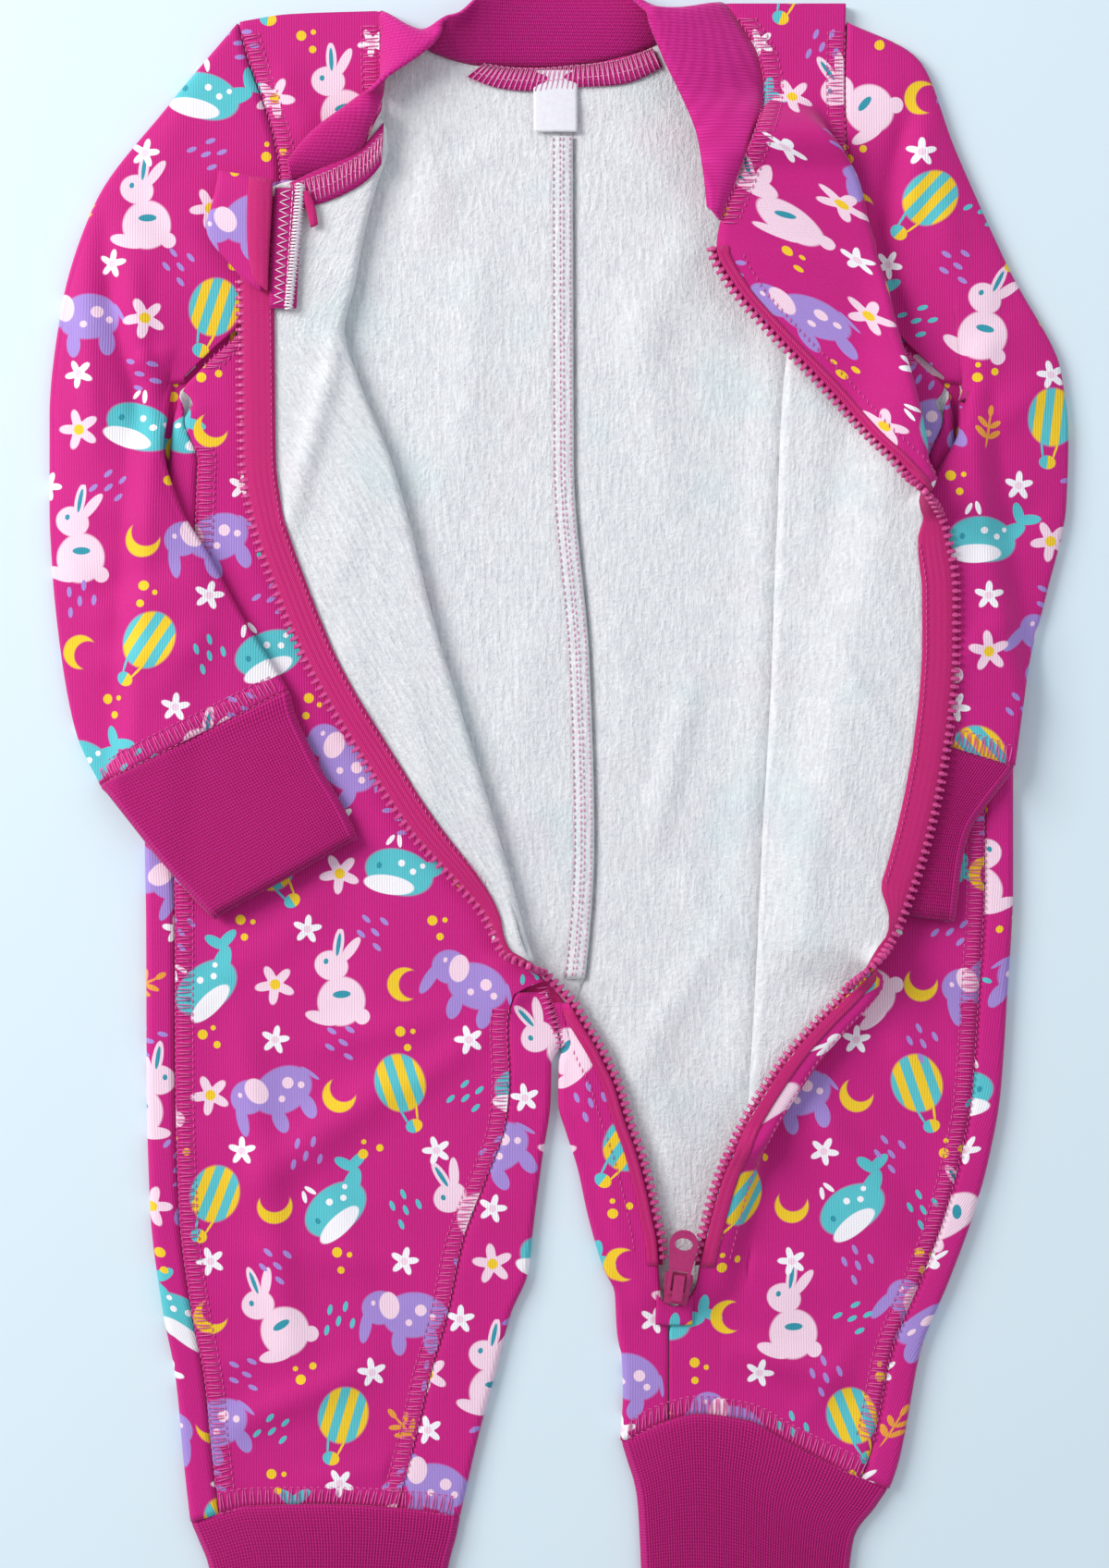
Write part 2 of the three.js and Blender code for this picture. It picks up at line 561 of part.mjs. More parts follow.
function tube(rows, { shares, line, lowerAt, radius }) {
  const lines = rows.map((row) => shares.map((share) => line(row, share)));
  // outward direction of the tube's edge in plan, square to the run of that edge
  const outward = (r, side) => {
    const end = (k) => lines[Math.min(rows.length - 1, Math.max(0, k))].at(side > 0 ? -1 : 0);
    const run = end(r + 1).clone().sub(end(r - 1)).normalize();
    const square = new THREE.Vector3(-run.y, run.x, 0);
    const across = lines[r].at(-1).clone().sub(lines[r][0]).normalize().multiplyScalar(side);
    if (r === 0) return across;
    return square.dot(across) < 0 ? square.negate() : square;
  };
  return rows.map((row, r) => {
    const [outer, inner] = [outward(r, -1), outward(r, 1)];
    const lower = lines[r].map((place, i) => {
      const p = place.clone()
        .addScaledVector(outer, -radius * Math.max(0, 1 - 2 * shares[i]))
        .addScaledVector(inner, -radius * Math.max(0, 2 * shares[i] - 1));
      return p.setZ(lowerAt(p.x, p.y, row));
    });
    const upper = lower.map((p, i) => p.clone().setZ(p.z + 2 * radius + row.puff * Math.sin(Math.PI * shares[i]) ** 0.7));
    const arc = (p, direction, ups) => ups.map((up) => p.clone()
      .addScaledVector(direction, radius * Math.cos(Math.PI / 6))
      .setZ(p.z + radius * (1 + up * Math.sin(Math.PI / 6))));
    return [...upper, ...arc(lower.at(-1), inner, [1, -1]), ...[...lower].reverse(), ...arc(lower[0], outer, [-1, 1])];
  });
}

// what a sleeve rests on: the table, or the front beside and above the side fold
function restOn(startAt, outerAt, facing) {
  return (x, y) => {
    const over = smooth((facing * (x - outerAt(y)) + 18) / 13) * smooth((armpitRow + 4 - y) / 8);
    const fromSeam = Math.max(0, facing * (x - startAt(y)));
    const top = frontLevel + cloth / 2 + sideRise * (1 - smooth(fromSeam / 14)) + relief(x, y) * smooth(fromSeam / 12);
    return over * (top + seamGap);
  };
}
const restRight = restOn(frontStartRight, outerRightX, 1);
const restLeft = restOn(frontStartLeft, outerLeftX, -1);

const sleeveRight = table('outX outY inX inY bow onBody puff', [
  [-121, 288.4, -141.2, 153.4, 1, 0, 0], [-147, 256.4, -146, 152.6, 0.3, 0, 2.4],
  [-174, 220, -150.4, 148.6, 0.1, 0, 3.8], [-186.6, 180, -152.4, 140, 0, 0.2, 4.2],
  [-191, 140, -152, 126, 0, 1, 4.2], [-191, 106, -142.5, 105, 0, 1, 4], [-190, 82, -131.5, 86, 0, 1, 3.8],
  [-187, 52, -119, 63, 0, 1, 3.6], [-181, 20, -107, 44, 0, 1, 3], [-172.3, 0.8, -102.2, 36.4, 0, 1, 2.4],
]);
const sleeveLeft = table('outX outY inX inY bow onBody puff', [
  [112.4, 288.6, 148.8, 153.4, 1, 0, 0], [138, 275, 152.8, 153, 0.45, 0, 1.6], [152, 240, 157.2, 149.6, 0.15, 0, 2.2],
  [172, 195, 158.8, 142.5, 0, 0.4, 2.2], [191.5, 157, 156, 132, 0, 1, 2.2], [194.4, 132, 145, 117, 0, 1, 2.2],
  [193.6, 106, 136, 102, 0, 1, 2], [186, 72, 124, 72, 0, 1, 2], [178, 40, 117, 48, 0, 1, 2], [173.6, 8, 111, 27, 0, 1, 1.6],
]);

const armGap = 0.9;         // sleeve to body, measured along x
function sleeve(rows, armAt, restAt, side) {
  // how far the armhole bulges from the straight line between its ends
  const bulge = (share) => armAt(mix(289, armpitRow, share)) - side * armGap - mix(rows[0].outX, rows[0].inX, share);
  return tube(rows, {
    shares: armShares, radius: innerFoldRadius,
    line: (row, share) => new THREE.Vector3(
      mix(row.outX, row.inX, share) + row.bow * bulge(share), mix(row.outY, row.inY, share), 0),
    lowerAt: (x, y, row) => backLevel + row.onBody * restAt(x, y),
  });
}

const cuffRadius = 1.65;
const cuffStiffness = 5;    // rib holds its level this far beyond the body's side
function cuff(rows, restAt, side) {
  return tube(rows, {
    shares: cuffShares, radius: cuffRadius,
    line: (row, share) => new THREE.Vector3(mix(row.outX, row.inX, share), mix(row.outY, row.inY, share), 0),
    lowerAt: (x, y) => ribCloth / 2 + restAt(x + side * cuffStiffness, y) * 1.06,
  });
}
const wristCuffRight = table('outX outY inX inY puff', [
  [-171.4, -0.2, -101.4, 35.4, 1.8], [-168.6, -2.4, -99.6, 27, 1.6], [-160, -13, -94.8, 16, 1.5],
  [-151, -24.4, -89.6, 5.3, 1.4], [-139.5, -38, -82, -7.4, 1.4], [-127.6, -50.8, -75.3, -21, 1.4],
]);
const wristCuffLeft = table('outX outY inX inY puff', [
  [173, 6.9, 110.4, 25.9, 1.2], [167, -1, 106, 14, 1],
  [161, -9, 103.6, 2, 1], [156, -17, 102.4, -11, 1], [152.6, -31, 101, -28, 1], [150.4, -52, 100, -45.6, 1],
]);

// ankle cuffs hang from the hem's curve and straighten towards their ends
const ankleCuffRight = table('share outX inX drop puff', [
  [0, -137.4, -37, 1, 1.4], [0.12, -133.8, -38.6, 7.5, 1.8], [0.35, -129.6, -41.8, 20, 1.8],
  [1, -127.4, -45.6, 57.5, 1.4],
]);
const ankleCuffLeft = table('share outX inX drop puff', [
  [0, 126.2, 26.4, 1, 1.4], [0.12, 120.6, 29, 7.5, 1.8], [0.35, 112.6, 32.6, 20, 1.8],
  [1, 108.8, 35, 57.5, 1.4],
]);
// lowest y of the panels' last rows above a place x
function hemOf(grids) {
  const lines = grids.map((grid) => grid.at(-1));
  const places = lines.flat().map((p) => p.x);
  const [least, most] = [Math.min(...places), Math.max(...places)];
  return (place) => {
    const x = Math.min(most - 0.1, Math.max(least + 0.1, place));
    let lowest = Infinity;
    for (const points of lines) {
      points.slice(1).forEach((to, i) => {
        const share = (x - points[i].x) / (to.x - points[i].x);
        if (share >= 0 && share <= 1) lowest = Math.min(lowest, mix(points[i].y, to.y, share));
      });
    }
    return lowest;
  };
}

function ankleCuff(rows, hemAt) {
  const first = rows[0];
  const outY = hemAt(first.outX);
  const inY = hemAt(first.inX);
  return tube(rows, {
    shares: cuffShares, radius: innerFoldRadius,
    line: (row, share) => {
      const hemY = hemAt(mix(first.outX, first.inX, share));
      const straight = mix(mix(outY, inY, share), (outY + inY) / 2, row.share);
      return new THREE.Vector3(mix(row.outX, row.inX, share), mix(hemY, straight, row.share) - row.drop, 0);
    },
    lowerAt: () => ribCloth / 2,
  });
}

// collar: a rib band from the neck seam to its free edge, narrowing to both ends of the zip
// place is the y of the seam on a front, or its x along the back neck
const collarRows = table('on place rise freeX freeY freeZ', [
  ['right', 228, 0, -100.6, 235.2, 10.4], ['right', 230, 0, -97.3, 239.8, 11], ['right', 234, 0.6, -90.3, 246.8, 13],
  ['right', 240, 2.2, -80, 254, 14.5], ['right', 246, 4, -69, 261.5, 15.5], ['right', 252, 4.6, -62, 266.5, 15.5],
  ['right', 262, 1.4, -54.6, 271.3, 15], ['right', 275, 0, -47, 277, 15], ['right', 286, 0, -41, 283.5, 15],
  ['back', -58, 0, -35.5, 290, 15], ['back', -46, 0, -28, 297, 13], ['back', -30, 0, -18, 301, 10],
  ['back', -14, 0, -9, 302.5, 8.5], ['back', 2, 0, 2, 303, 8], ['back', 16, 0, 12, 302.5, 8.5],
  ['back', 28, 0, 21, 301, 10], ['back', 40, 0, 28, 297.5, 13], ['back', 51, 0, 33, 292, 15],
  ['left', 291, 0, 35.5, 286, 15.5], ['left', 284, 0, 38.5, 278.5, 15], ['left', 276, 0, 41.5, 271.5, 14.5],
  ['left', 264, 0, 45.5, 263.5, 14], ['left', 252, 0, 49.5, 255, 14], ['left', 238, 0, 53.5, 244, 14.5],
  ['left', 224, 0, 56, 229.5, 14.5], ['left', 212, 0, 57.5, 217, 14],
]);
const neckLine = [...backRight[0]].reverse().concat(backLeft[0]);
const backTop = (x) => {
  const next = neckLine.findIndex((p) => p.x > x);
  const [from, to] = [neckLine[next - 1], neckLine[next]];
  return from.clone().lerp(to, (x - from.x) / (to.x - from.x)).setZ(ribCloth / 2);
};
const neckSeam = { right: edgeOf(frontRight), left: edgeOf(frontLeft), back: backTop };
const collarColumns = [0, 0.25, 0.5, 0.75, 1];
const collarArch = 1.6;
const collarGap = 1.7;
function collarGrid() {
  return collarRows.map(({ on, place, rise, freeX, freeY, freeZ }) => {
    const free = new THREE.Vector3(freeX, freeY, freeZ);
    const seam = neckSeam[on](place);
    const start = seam.clone().addScaledVector(free.clone().sub(seam).normalize(), collarGap);
    start.z += rise;
    return collarColumns.map((share) => {
      const p = start.clone().lerp(free, share);
      return p.setZ(p.z + collarArch * Math.sin(Math.PI * share));
    });
  });
}

// small flat pieces: outline points with their height, filled across
function patch(rows, thickness) {
  return wall(rows.map((row) => row.map(([x, y, z]) => new THREE.Vector3(x, y, z))), thickness);
}
const backTopFace = cloth + seamGap;
const allowanceWidth = 7.6;
const allowance = stations([{ y: 246 }, { y: -62 }]).map((y) => [0, 0.5, 1].map((share) => [
  centreBackX(y, 'x') - allowanceWidth * (1 - share), y, backTopFace + tapeCloth / 2 + 0.2 * Math.sin(Math.PI * share)]));
const label = [271, 264, 256, 248].map((y, i) => [-8, 0.4, 8.8].map((x) => [x, y, backTopFace + tapeCloth / 2 + 0.5 * i / 3]));
const guardLevel = 11.4;
const chinGuard = [
  [[-126.4, 231.2], [-116, 229.4], [-106, 227.6]], [[-129, 219], [-118, 215], [-107.4, 212]],
  [[-131.3, 210], [-120.6, 203], [-108.8, 199]], [[-119.2, 192.4], [-115.4, 188.8], [-110.4, 185.4]],
].map((row) => row.map(([x, y], i) => [x, y, guardLevel + 0.5 * i]));
const guardBinding = [224.8, 210, 196, 179.4].map((y, i) => [0, 5.2, 10.4].map((x) => [-105.4 - 0.8 * i + x, y, 10.9]));
const endPatch = [
  [[38.6, -193, 7.9], [42, -196.2, 7.4], [45.4, -197.6, 7.3], [48.8, -196.2, 7.4], [52.2, -193, 7.9]],
  [[38.4, -199, 6.9], [42, -200.4, 6.7], [45.3, -201, 6.6], [48.7, -200.4, 6.7], [52.2, -199, 6.9]],
  [[38.3, -204.8, 5.9], [42, -205, 5.9], [45.3, -205, 5.9], [48.7, -205, 5.9], [52.2, -204.8, 5.9]],
];

// slider: a core between the zip edges, a wing over them and a bridge that holds the pull tab
const sliderCentre = new THREE.Vector3(46.4, -190.2, 0);
const sliderTilt = -0.14;   // radians about z
const wing = { width: 10.9, foot: 8.6, length: 12, bottom: 9, thickness: 1.6 };
const core = { width: 3.4, length: 9, bottom: 4.6 };
const bridge = { width: 4, length: 10.4, foot: 1.8, height: 3.8, bar: 1.4 };
const pull = { bar: 1.5, thickness: 1.5, length: 24, width: 11, waist: 8.4, slot: 5.6, slotLength: 8.2 };
const wingTop = wing.bottom + wing.thickness;
const barCentre = new THREE.Vector2(-1.6, wingTop + (bridge.height - bridge.bar) / 2);    // along the slider, height

const wasm = await Module();
wasm.setup();
function toManifold(geometry) {
  const bare = new THREE.BufferGeometry();
  bare.setAttribute('position', geometry.getAttribute('position'));
  if (geometry.index) bare.setIndex(geometry.index);
  const joined = mergeVertices(bare, 1e-4);
  return new wasm.Manifold(new wasm.Mesh({
    numProp: 3,
    vertProperties: new Float32Array(joined.getAttribute('position').array),
    triVerts: new Uint32Array(joined.index.array),
  }));
}
function fromManifold(body) {
  const mesh = body.getMesh();
  const geometry = new THREE.BufferGeometry();
  geometry.setAttribute('position', new THREE.Float32BufferAttribute(mesh.vertProperties, 3));
  geometry.setIndex([...mesh.triVerts]);
  return geometry;
}
const onSlider = (geometry) => geometry.rotateZ(sliderTilt).translate(sliderCentre.x, sliderCentre.y, 0);
const plate = (shape, bottom, thickness) => new THREE.ExtrudeGeometry(
  shape, { depth: thickness, bevelEnabled: false, curveSegments: 5 }).translate(0, 0, bottom);

function sliderBody() {
  const [w, f, l] = [wing.width / 2, wing.foot / 2, wing.length / 2];
  const shape = new THREE.Shape();
  shape.moveTo(-f, -l).lineTo(f, -l).lineTo(w, l - 2).quadraticCurveTo(w, l, w - 2, l);
  shape.lineTo(2 - w, l).quadraticCurveTo(-w, l, -w, l - 2);
  const coreBox = new THREE.BoxGeometry(core.width, core.length, wingTop - core.bottom - wing.thickness / 2)
    .translate(0, 0, (wingTop + core.bottom - wing.thickness / 2) / 2);
  // the bridge's side view, with the way through for the pull tab's bar
  const side = new THREE.Shape();
  const half = bridge.length / 2;
  side.moveTo(-half, -0.4).lineTo(half, -0.4).lineTo(half, bridge.height - 1).lineTo(half - 1, bridge.height);
  side.lineTo(1 - half, bridge.height).lineTo(-half, bridge.height - 1);
  const way = new THREE.Path();
  way.moveTo(bridge.foot - half, 0.02).lineTo(bridge.foot - half, bridge.height - bridge.bar);
  way.lineTo(half - bridge.foot, bridge.height - bridge.bar).lineTo(half - bridge.foot, 0.02);
  side.holes.push(way);
  const arch = plate(side, -bridge.width / 2, bridge.width).rotateY(Math.PI / 2).rotateX(Math.PI / 2);
  arch.translate(0, 0, wingTop);
  const joined = toManifold(plate(shape, wing.bottom, wing.thickness)).add(toManifold(coreBox)).add(toManifold(arch));
  return onSlider(fromManifold(joined));
}

// pull tab: from its bar under the bridge to a round head with an oval hole
function pullTab() {
  const [foot, head, waist] = [-pull.bar / 2, pull.length - pull.width / 2, pull.waist / 2];
  const shape = new THREE.Shape();
  shape.moveTo(-waist, foot).lineTo(waist, foot).lineTo(waist, pull.slotLength).lineTo(pull.width / 2, head);
  shape.absarc(0, head, pull.width / 2, 0, Math.PI, false);
  shape.lineTo(-waist, pull.slotLength);
  const slot = new THREE.Path();
  slot.moveTo(-pull.slot / 2, pull.bar / 2).lineTo(-pull.slot / 2, pull.slotLength);
  slot.lineTo(pull.slot / 2, pull.slotLength).lineTo(pull.slot / 2, pull.bar / 2);
  const hole = new THREE.Path();
  hole.absellipse(0, head, 3.4, 2.4, 0, 2 * Math.PI, true);
  shape.holes.push(slot, hole);
  const tab = plate(shape, -pull.thickness / 2, pull.thickness).translate(0, barCentre.x, barCentre.y);
  return onSlider(fromManifold(toManifold(tab)));
}

const print = (name, geometry, colour = colours.print) => {
  const material = new THREE.MeshStandardMaterial({ color: colour, roughness: 0.85, metalness: 0 });
  const mesh = new THREE.Mesh(geometry, material);
  mesh.name = name;
  return mesh;
};

const garment = new THREE.Group();
garment.add(print('back_right', wall(backRight, cloth)));
garment.add(print('back_left', wall(backLeft, cloth)));
garment.add(print('front_right', wall(frontRight, cloth)));
garment.add(print('front_left', wall(frontLeft, cloth)));
garment.add(print('inner_leg_right', wall(innerLegRight, cloth)));
garment.add(print('inner_leg_left', wall(innerLegLeft, cloth)));
garment.add(print('sleeve_right', wall(sleeve(sleeveRight, armRightX, restRight, 1), cloth, true)));
garment.add(print('sleeve_left', wall(sleeve(sleeveLeft, armLeftX, restLeft, -1), cloth, true)));
garment.add(print('wrist_cuff_right', wall(cuff(wristCuffRight, restRight, 1), ribCloth, true), colours.rib));
garment.add(print('wrist_cuff_left', wall(cuff(wristCuffLeft, restLeft, -1), ribCloth, true), colours.rib));
garment.add(print('ankle_cuff_right', wall(ankleCuff(ankleCuffRight, hemOf([backRight, frontRight, innerLegRight])), ribCloth, true), colours.rib));
garment.add(print('ankle_cuff_left', wall(ankleCuff(ankleCuffLeft, hemOf([backLeft, frontLeft, innerLegLeft])), ribCloth, true), colours.rib));
garment.add(print('collar', wall(collarGrid(), ribCloth), colours.rib));
garment.add(print('zip_tape_right', tapeOf(zipRight), colours.tape));
garment.add(print('zip_tape_left', tapeOf(zipLeft), colours.tape));
garment.add(print('zip_chain_right', chainOf(zipRight.filter(({ edge }) => edge.y <= 191)), colours.teeth));
garment.add(print('zip_chain_left', chainOf(zipLeft), colours.teeth));
garment.add(print('back_seam_allowance', patch(allowance, tapeCloth), colours.fleece));
garment.add(print('neck_label', patch(label, tapeCloth), colours.label));
garment.add(print('chin_guard', patch(chinGuard, cloth)));
garment.add(print('chin_guard_binding', patch(guardBinding, tapeCloth), colours.rib));
garment.add(print('zip_end_patch', patch(endPatch, tapeCloth)));
garment.add(print('zip_slider', sliderBody(), colours.metal));
garment.add(print('zip_pull', pullTab(), colours.metal));

export default garment;
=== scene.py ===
import bmesh
import bpy
import math
import numpy as np
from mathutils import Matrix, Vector


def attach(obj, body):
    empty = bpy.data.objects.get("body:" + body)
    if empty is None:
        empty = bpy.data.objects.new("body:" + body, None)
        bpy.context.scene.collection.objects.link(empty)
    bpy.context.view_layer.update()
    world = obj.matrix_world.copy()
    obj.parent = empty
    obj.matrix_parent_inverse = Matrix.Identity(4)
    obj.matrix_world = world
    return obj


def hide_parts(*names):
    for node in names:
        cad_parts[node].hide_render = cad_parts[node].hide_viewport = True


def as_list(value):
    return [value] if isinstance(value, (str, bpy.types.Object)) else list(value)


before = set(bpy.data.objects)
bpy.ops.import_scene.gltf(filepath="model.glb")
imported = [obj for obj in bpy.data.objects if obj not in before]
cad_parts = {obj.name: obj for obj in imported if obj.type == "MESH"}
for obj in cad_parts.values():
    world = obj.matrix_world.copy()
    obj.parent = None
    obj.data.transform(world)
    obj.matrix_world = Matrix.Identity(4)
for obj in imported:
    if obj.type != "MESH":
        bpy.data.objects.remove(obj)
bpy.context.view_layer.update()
print("frame loaded")

# all shapes are worked out in millimetres and turned into metres when a mesh is made
fabric = dict(thickness=2.0, rib=2.4, gap=0.35, step=2.6)
level = dict(back=1.0, front=3.9)
foldRadius = 1.9
innerRadius = (level["front"] - level["back"]) / 2
sideRun = 8.0
tuckRun = 5.0
openRun = 2.0
ridgeRadius = 2.4
armpitRow = 151.0
tableClearance = 0.02
stepCount = dict(  # steps along each part of a section
    back=46, arc=9, wrap=3, innerLeg=14, innerArc=8, sleeve=44, sleeveRings=12, cuffRings=4, ankleRings=6)
rounding = dict(sides=(0.5, 0.86), rows=(0.45, 0.85))  # how the thickness grows in from an edge


def smooth(value):
    value = np.clip(value, 0.0, 1.0)
    return value * value * (3 - 2 * value)


def mix(a, b, share):
    return a + (b - a) * share


def table(names, rows):
    keys = names.split()
    return [dict(zip(keys, row)) for row in rows]


def reader(rows, key):  # monotone cubic through a table, read at one place or at many
    rows = sorted(rows, key=lambda row: row[key])
    places = np.array([row[key] for row in rows], float)
    spans = np.diff(places)
    known = {}

    def curve(name):
        values = np.array([row[name] for row in rows], float)
        slopes = np.diff(values) / spans
        tangents = np.empty(len(rows))
        tangents[0], tangents[-1] = slopes[0], slopes[-1]
        before, after = slopes[:-1], slopes[1:]
        total = np.where(before * after > 0, before + after, 1)
        tangents[1:-1] = np.where(before * after > 0, 2 * before * after / total, 0)
        return values, tangents

    def read(place, name="x"):
        if name not in known:
            known[name] = curve(name)
        values, tangents = known[name]
        place = np.clip(place, places[0], places[-1])
        i = np.clip(np.searchsorted(places, place, side="right") - 1, 0, len(spans) - 1)
        t = (place - places[i]) / spans[i]
        a, b = tangents[i] * spans[i], tangents[i + 1] * spans[i]
        bent = (2 * t - 3) * t * t
        return values[i] * (1 + bent) - values[i + 1] * bent + a * t * (1 - t) ** 2 - b * t * t * (1 - t)
    return read


def spaced(start, end, step):
    return np.linspace(start, end, max(2, int(round(abs(end - start) / step)) + 1))


def through(points, count):  # smooth curve through points in space
    points = np.array(points, float)
    spans = np.maximum(np.linalg.norm(np.diff(points, axis=0), axis=1), 1e-6)
    places = np.concatenate([[0], np.cumsum(spans)])
    tangents = np.gradient(points, places, axis=0)
    at = np.linspace(0, places[-1], count) if np.isscalar(count) else np.asarray(count) * places[-1]
    i = np.clip(np.searchsorted(places, at, side="right") - 1, 0, len(spans) - 1)
    span = spans[i][:, None]
    t = ((at - places[i]) / spans[i])[:, None]
    bent = (2 * t - 3) * t * t
    curve = points[i] * (1 + bent) - points[i + 1] * bent
    return curve + tangents[i] * span * t * (1 - t) ** 2 - tangents[i + 1] * span * t * t * (1 - t)


def unit(vectors):
    return vectors / np.maximum(np.linalg.norm(vectors, axis=-1, keepdims=True), 1e-9)


def runAlong(points):  # the distance travelled at each point of a path
    return np.concatenate([[0], np.cumsum(np.linalg.norm(np.diff(points, axis=0), axis=1))])


def atRun(distance, run, rows):  # rows of x, y and z read at a distance along the path
    return np.stack([np.interp(distance, run, rows[:, k]) for k in range(3)], axis=-1)


# outlines of the body and legs, as x at heights y, or y at places x
outline = dict(
    centreBack=table("y x", [(273, 7), (122, 7.4), (45, 13.4), (-21, 15.2), (-71, 12), (-94, 3)]),
    armRight=table("y x", [
        (289, -119.5), (275.8, -116.2), (258.3, -110.3), (240.8, -105.7), (230.3, -104.3), (209, -105),
        (190, -110), (172.6, -118.3), (162, -129.5), (151, -140.4)]),
    armLeft=table("y x", [
        (295, 110.6), (270, 110), (250, 110.3), (228, 112), (209, 113.5), (190, 118), (172, 127),
        (160, 138), (151, 148)]),
    outerRight=table("y x", [
        (150, -142), (122, -145.5), (100, -146.5), (60, -149), (20, -152), (-20, -154.7), (-53, -154.2),
        (-115, -154), (-162, -152.6), (-201, -147.7), (-224, -143.2), (-255, -140), (-277, -137.4)]),
    outerLeft=table("y x", [
        (150, 149.5), (122, 152), (87, 157), (52, 164), (5, 173.3), (-37, 173.3), (-84, 170.8), (-118, 168.4),
        (-140, 164.5), (-162, 158.6), (-188, 149.1), (-214, 138.3), (-232, 133.7), (-244, 130.5),
        (-255, 126.4)]),
    innerRight=table("y x", [
        (-95, 0.6), (-98.4, -0.8), (-104, -2), (-121, -2.5), (-142, -5.6), (-168, -9), (-185, -10.9),
        (-201, -17.5), (-224, -23.5), (-247, -29.8), (-277, -36.8)]),
    innerLeft=table("y x", [
        (-95, 1.6), (-99.8, 2.4), (-104, 2.6), (-121, 2.3), (-132, 5.3), (-145, 9.5), (-164, 13.7),
        (-184, 19.6), (-193, 23.8), (-207, 24.6), (-221, 26.6), (-235, 27), (-255, 26)]),
    hemRight=table("x y", [
        (-138, -280), (-116.9, -274.4), (-85.8, -273.7), (-54.6, -275.5), (-36.8, -277.6)]),
    hemLeft=table("x y", [
        (25.6, -249.6), (32.6, -246), (42, -242), (53.9, -239.4), (73.5, -242), (88.2, -249.6),
        (106.8, -259), (127.4, -267.4)]),
    backNeck=table("x y", [
        (-119, 289), (-66, 292), (-56, 284.5), (-44, 277), (-28, 272.9), (0, 272), (26, 276), (40, 281.5),
        (53, 291), (62, 296), (110, 296)]),
    shoulder=table("x y", [(-120, 289), (-100, 292), (-66, 293.2)]),
)
line = {name: reader(rows, "x" if name in ("hemRight", "hemLeft", "backNeck", "shoulder") else "y")
        for name, rows in outline.items()}
hemRowRight, hemRowLeft, topRow = -277.0, -255.0, 292.0
edgeRules = dict(
    hemRight=(hemRowRight, line["hemRight"], 45), hemLeft=(hemRowLeft, line["hemLeft"], 45),
    backNeck=(topRow, line["backNeck"], 60), shoulder=(topRow, line["shoulder"], 30))


def bend(x, y, names):  # rows slide along y near a hem or neck so that the last one lies on it
    shifted = np.full_like(x, y)
    for name in names:
        row, curve, reach = edgeRules[name]
        shifted += (1 - smooth(np.abs(y - row) / reach)) * (curve(x, "y") - row)
    return shifted


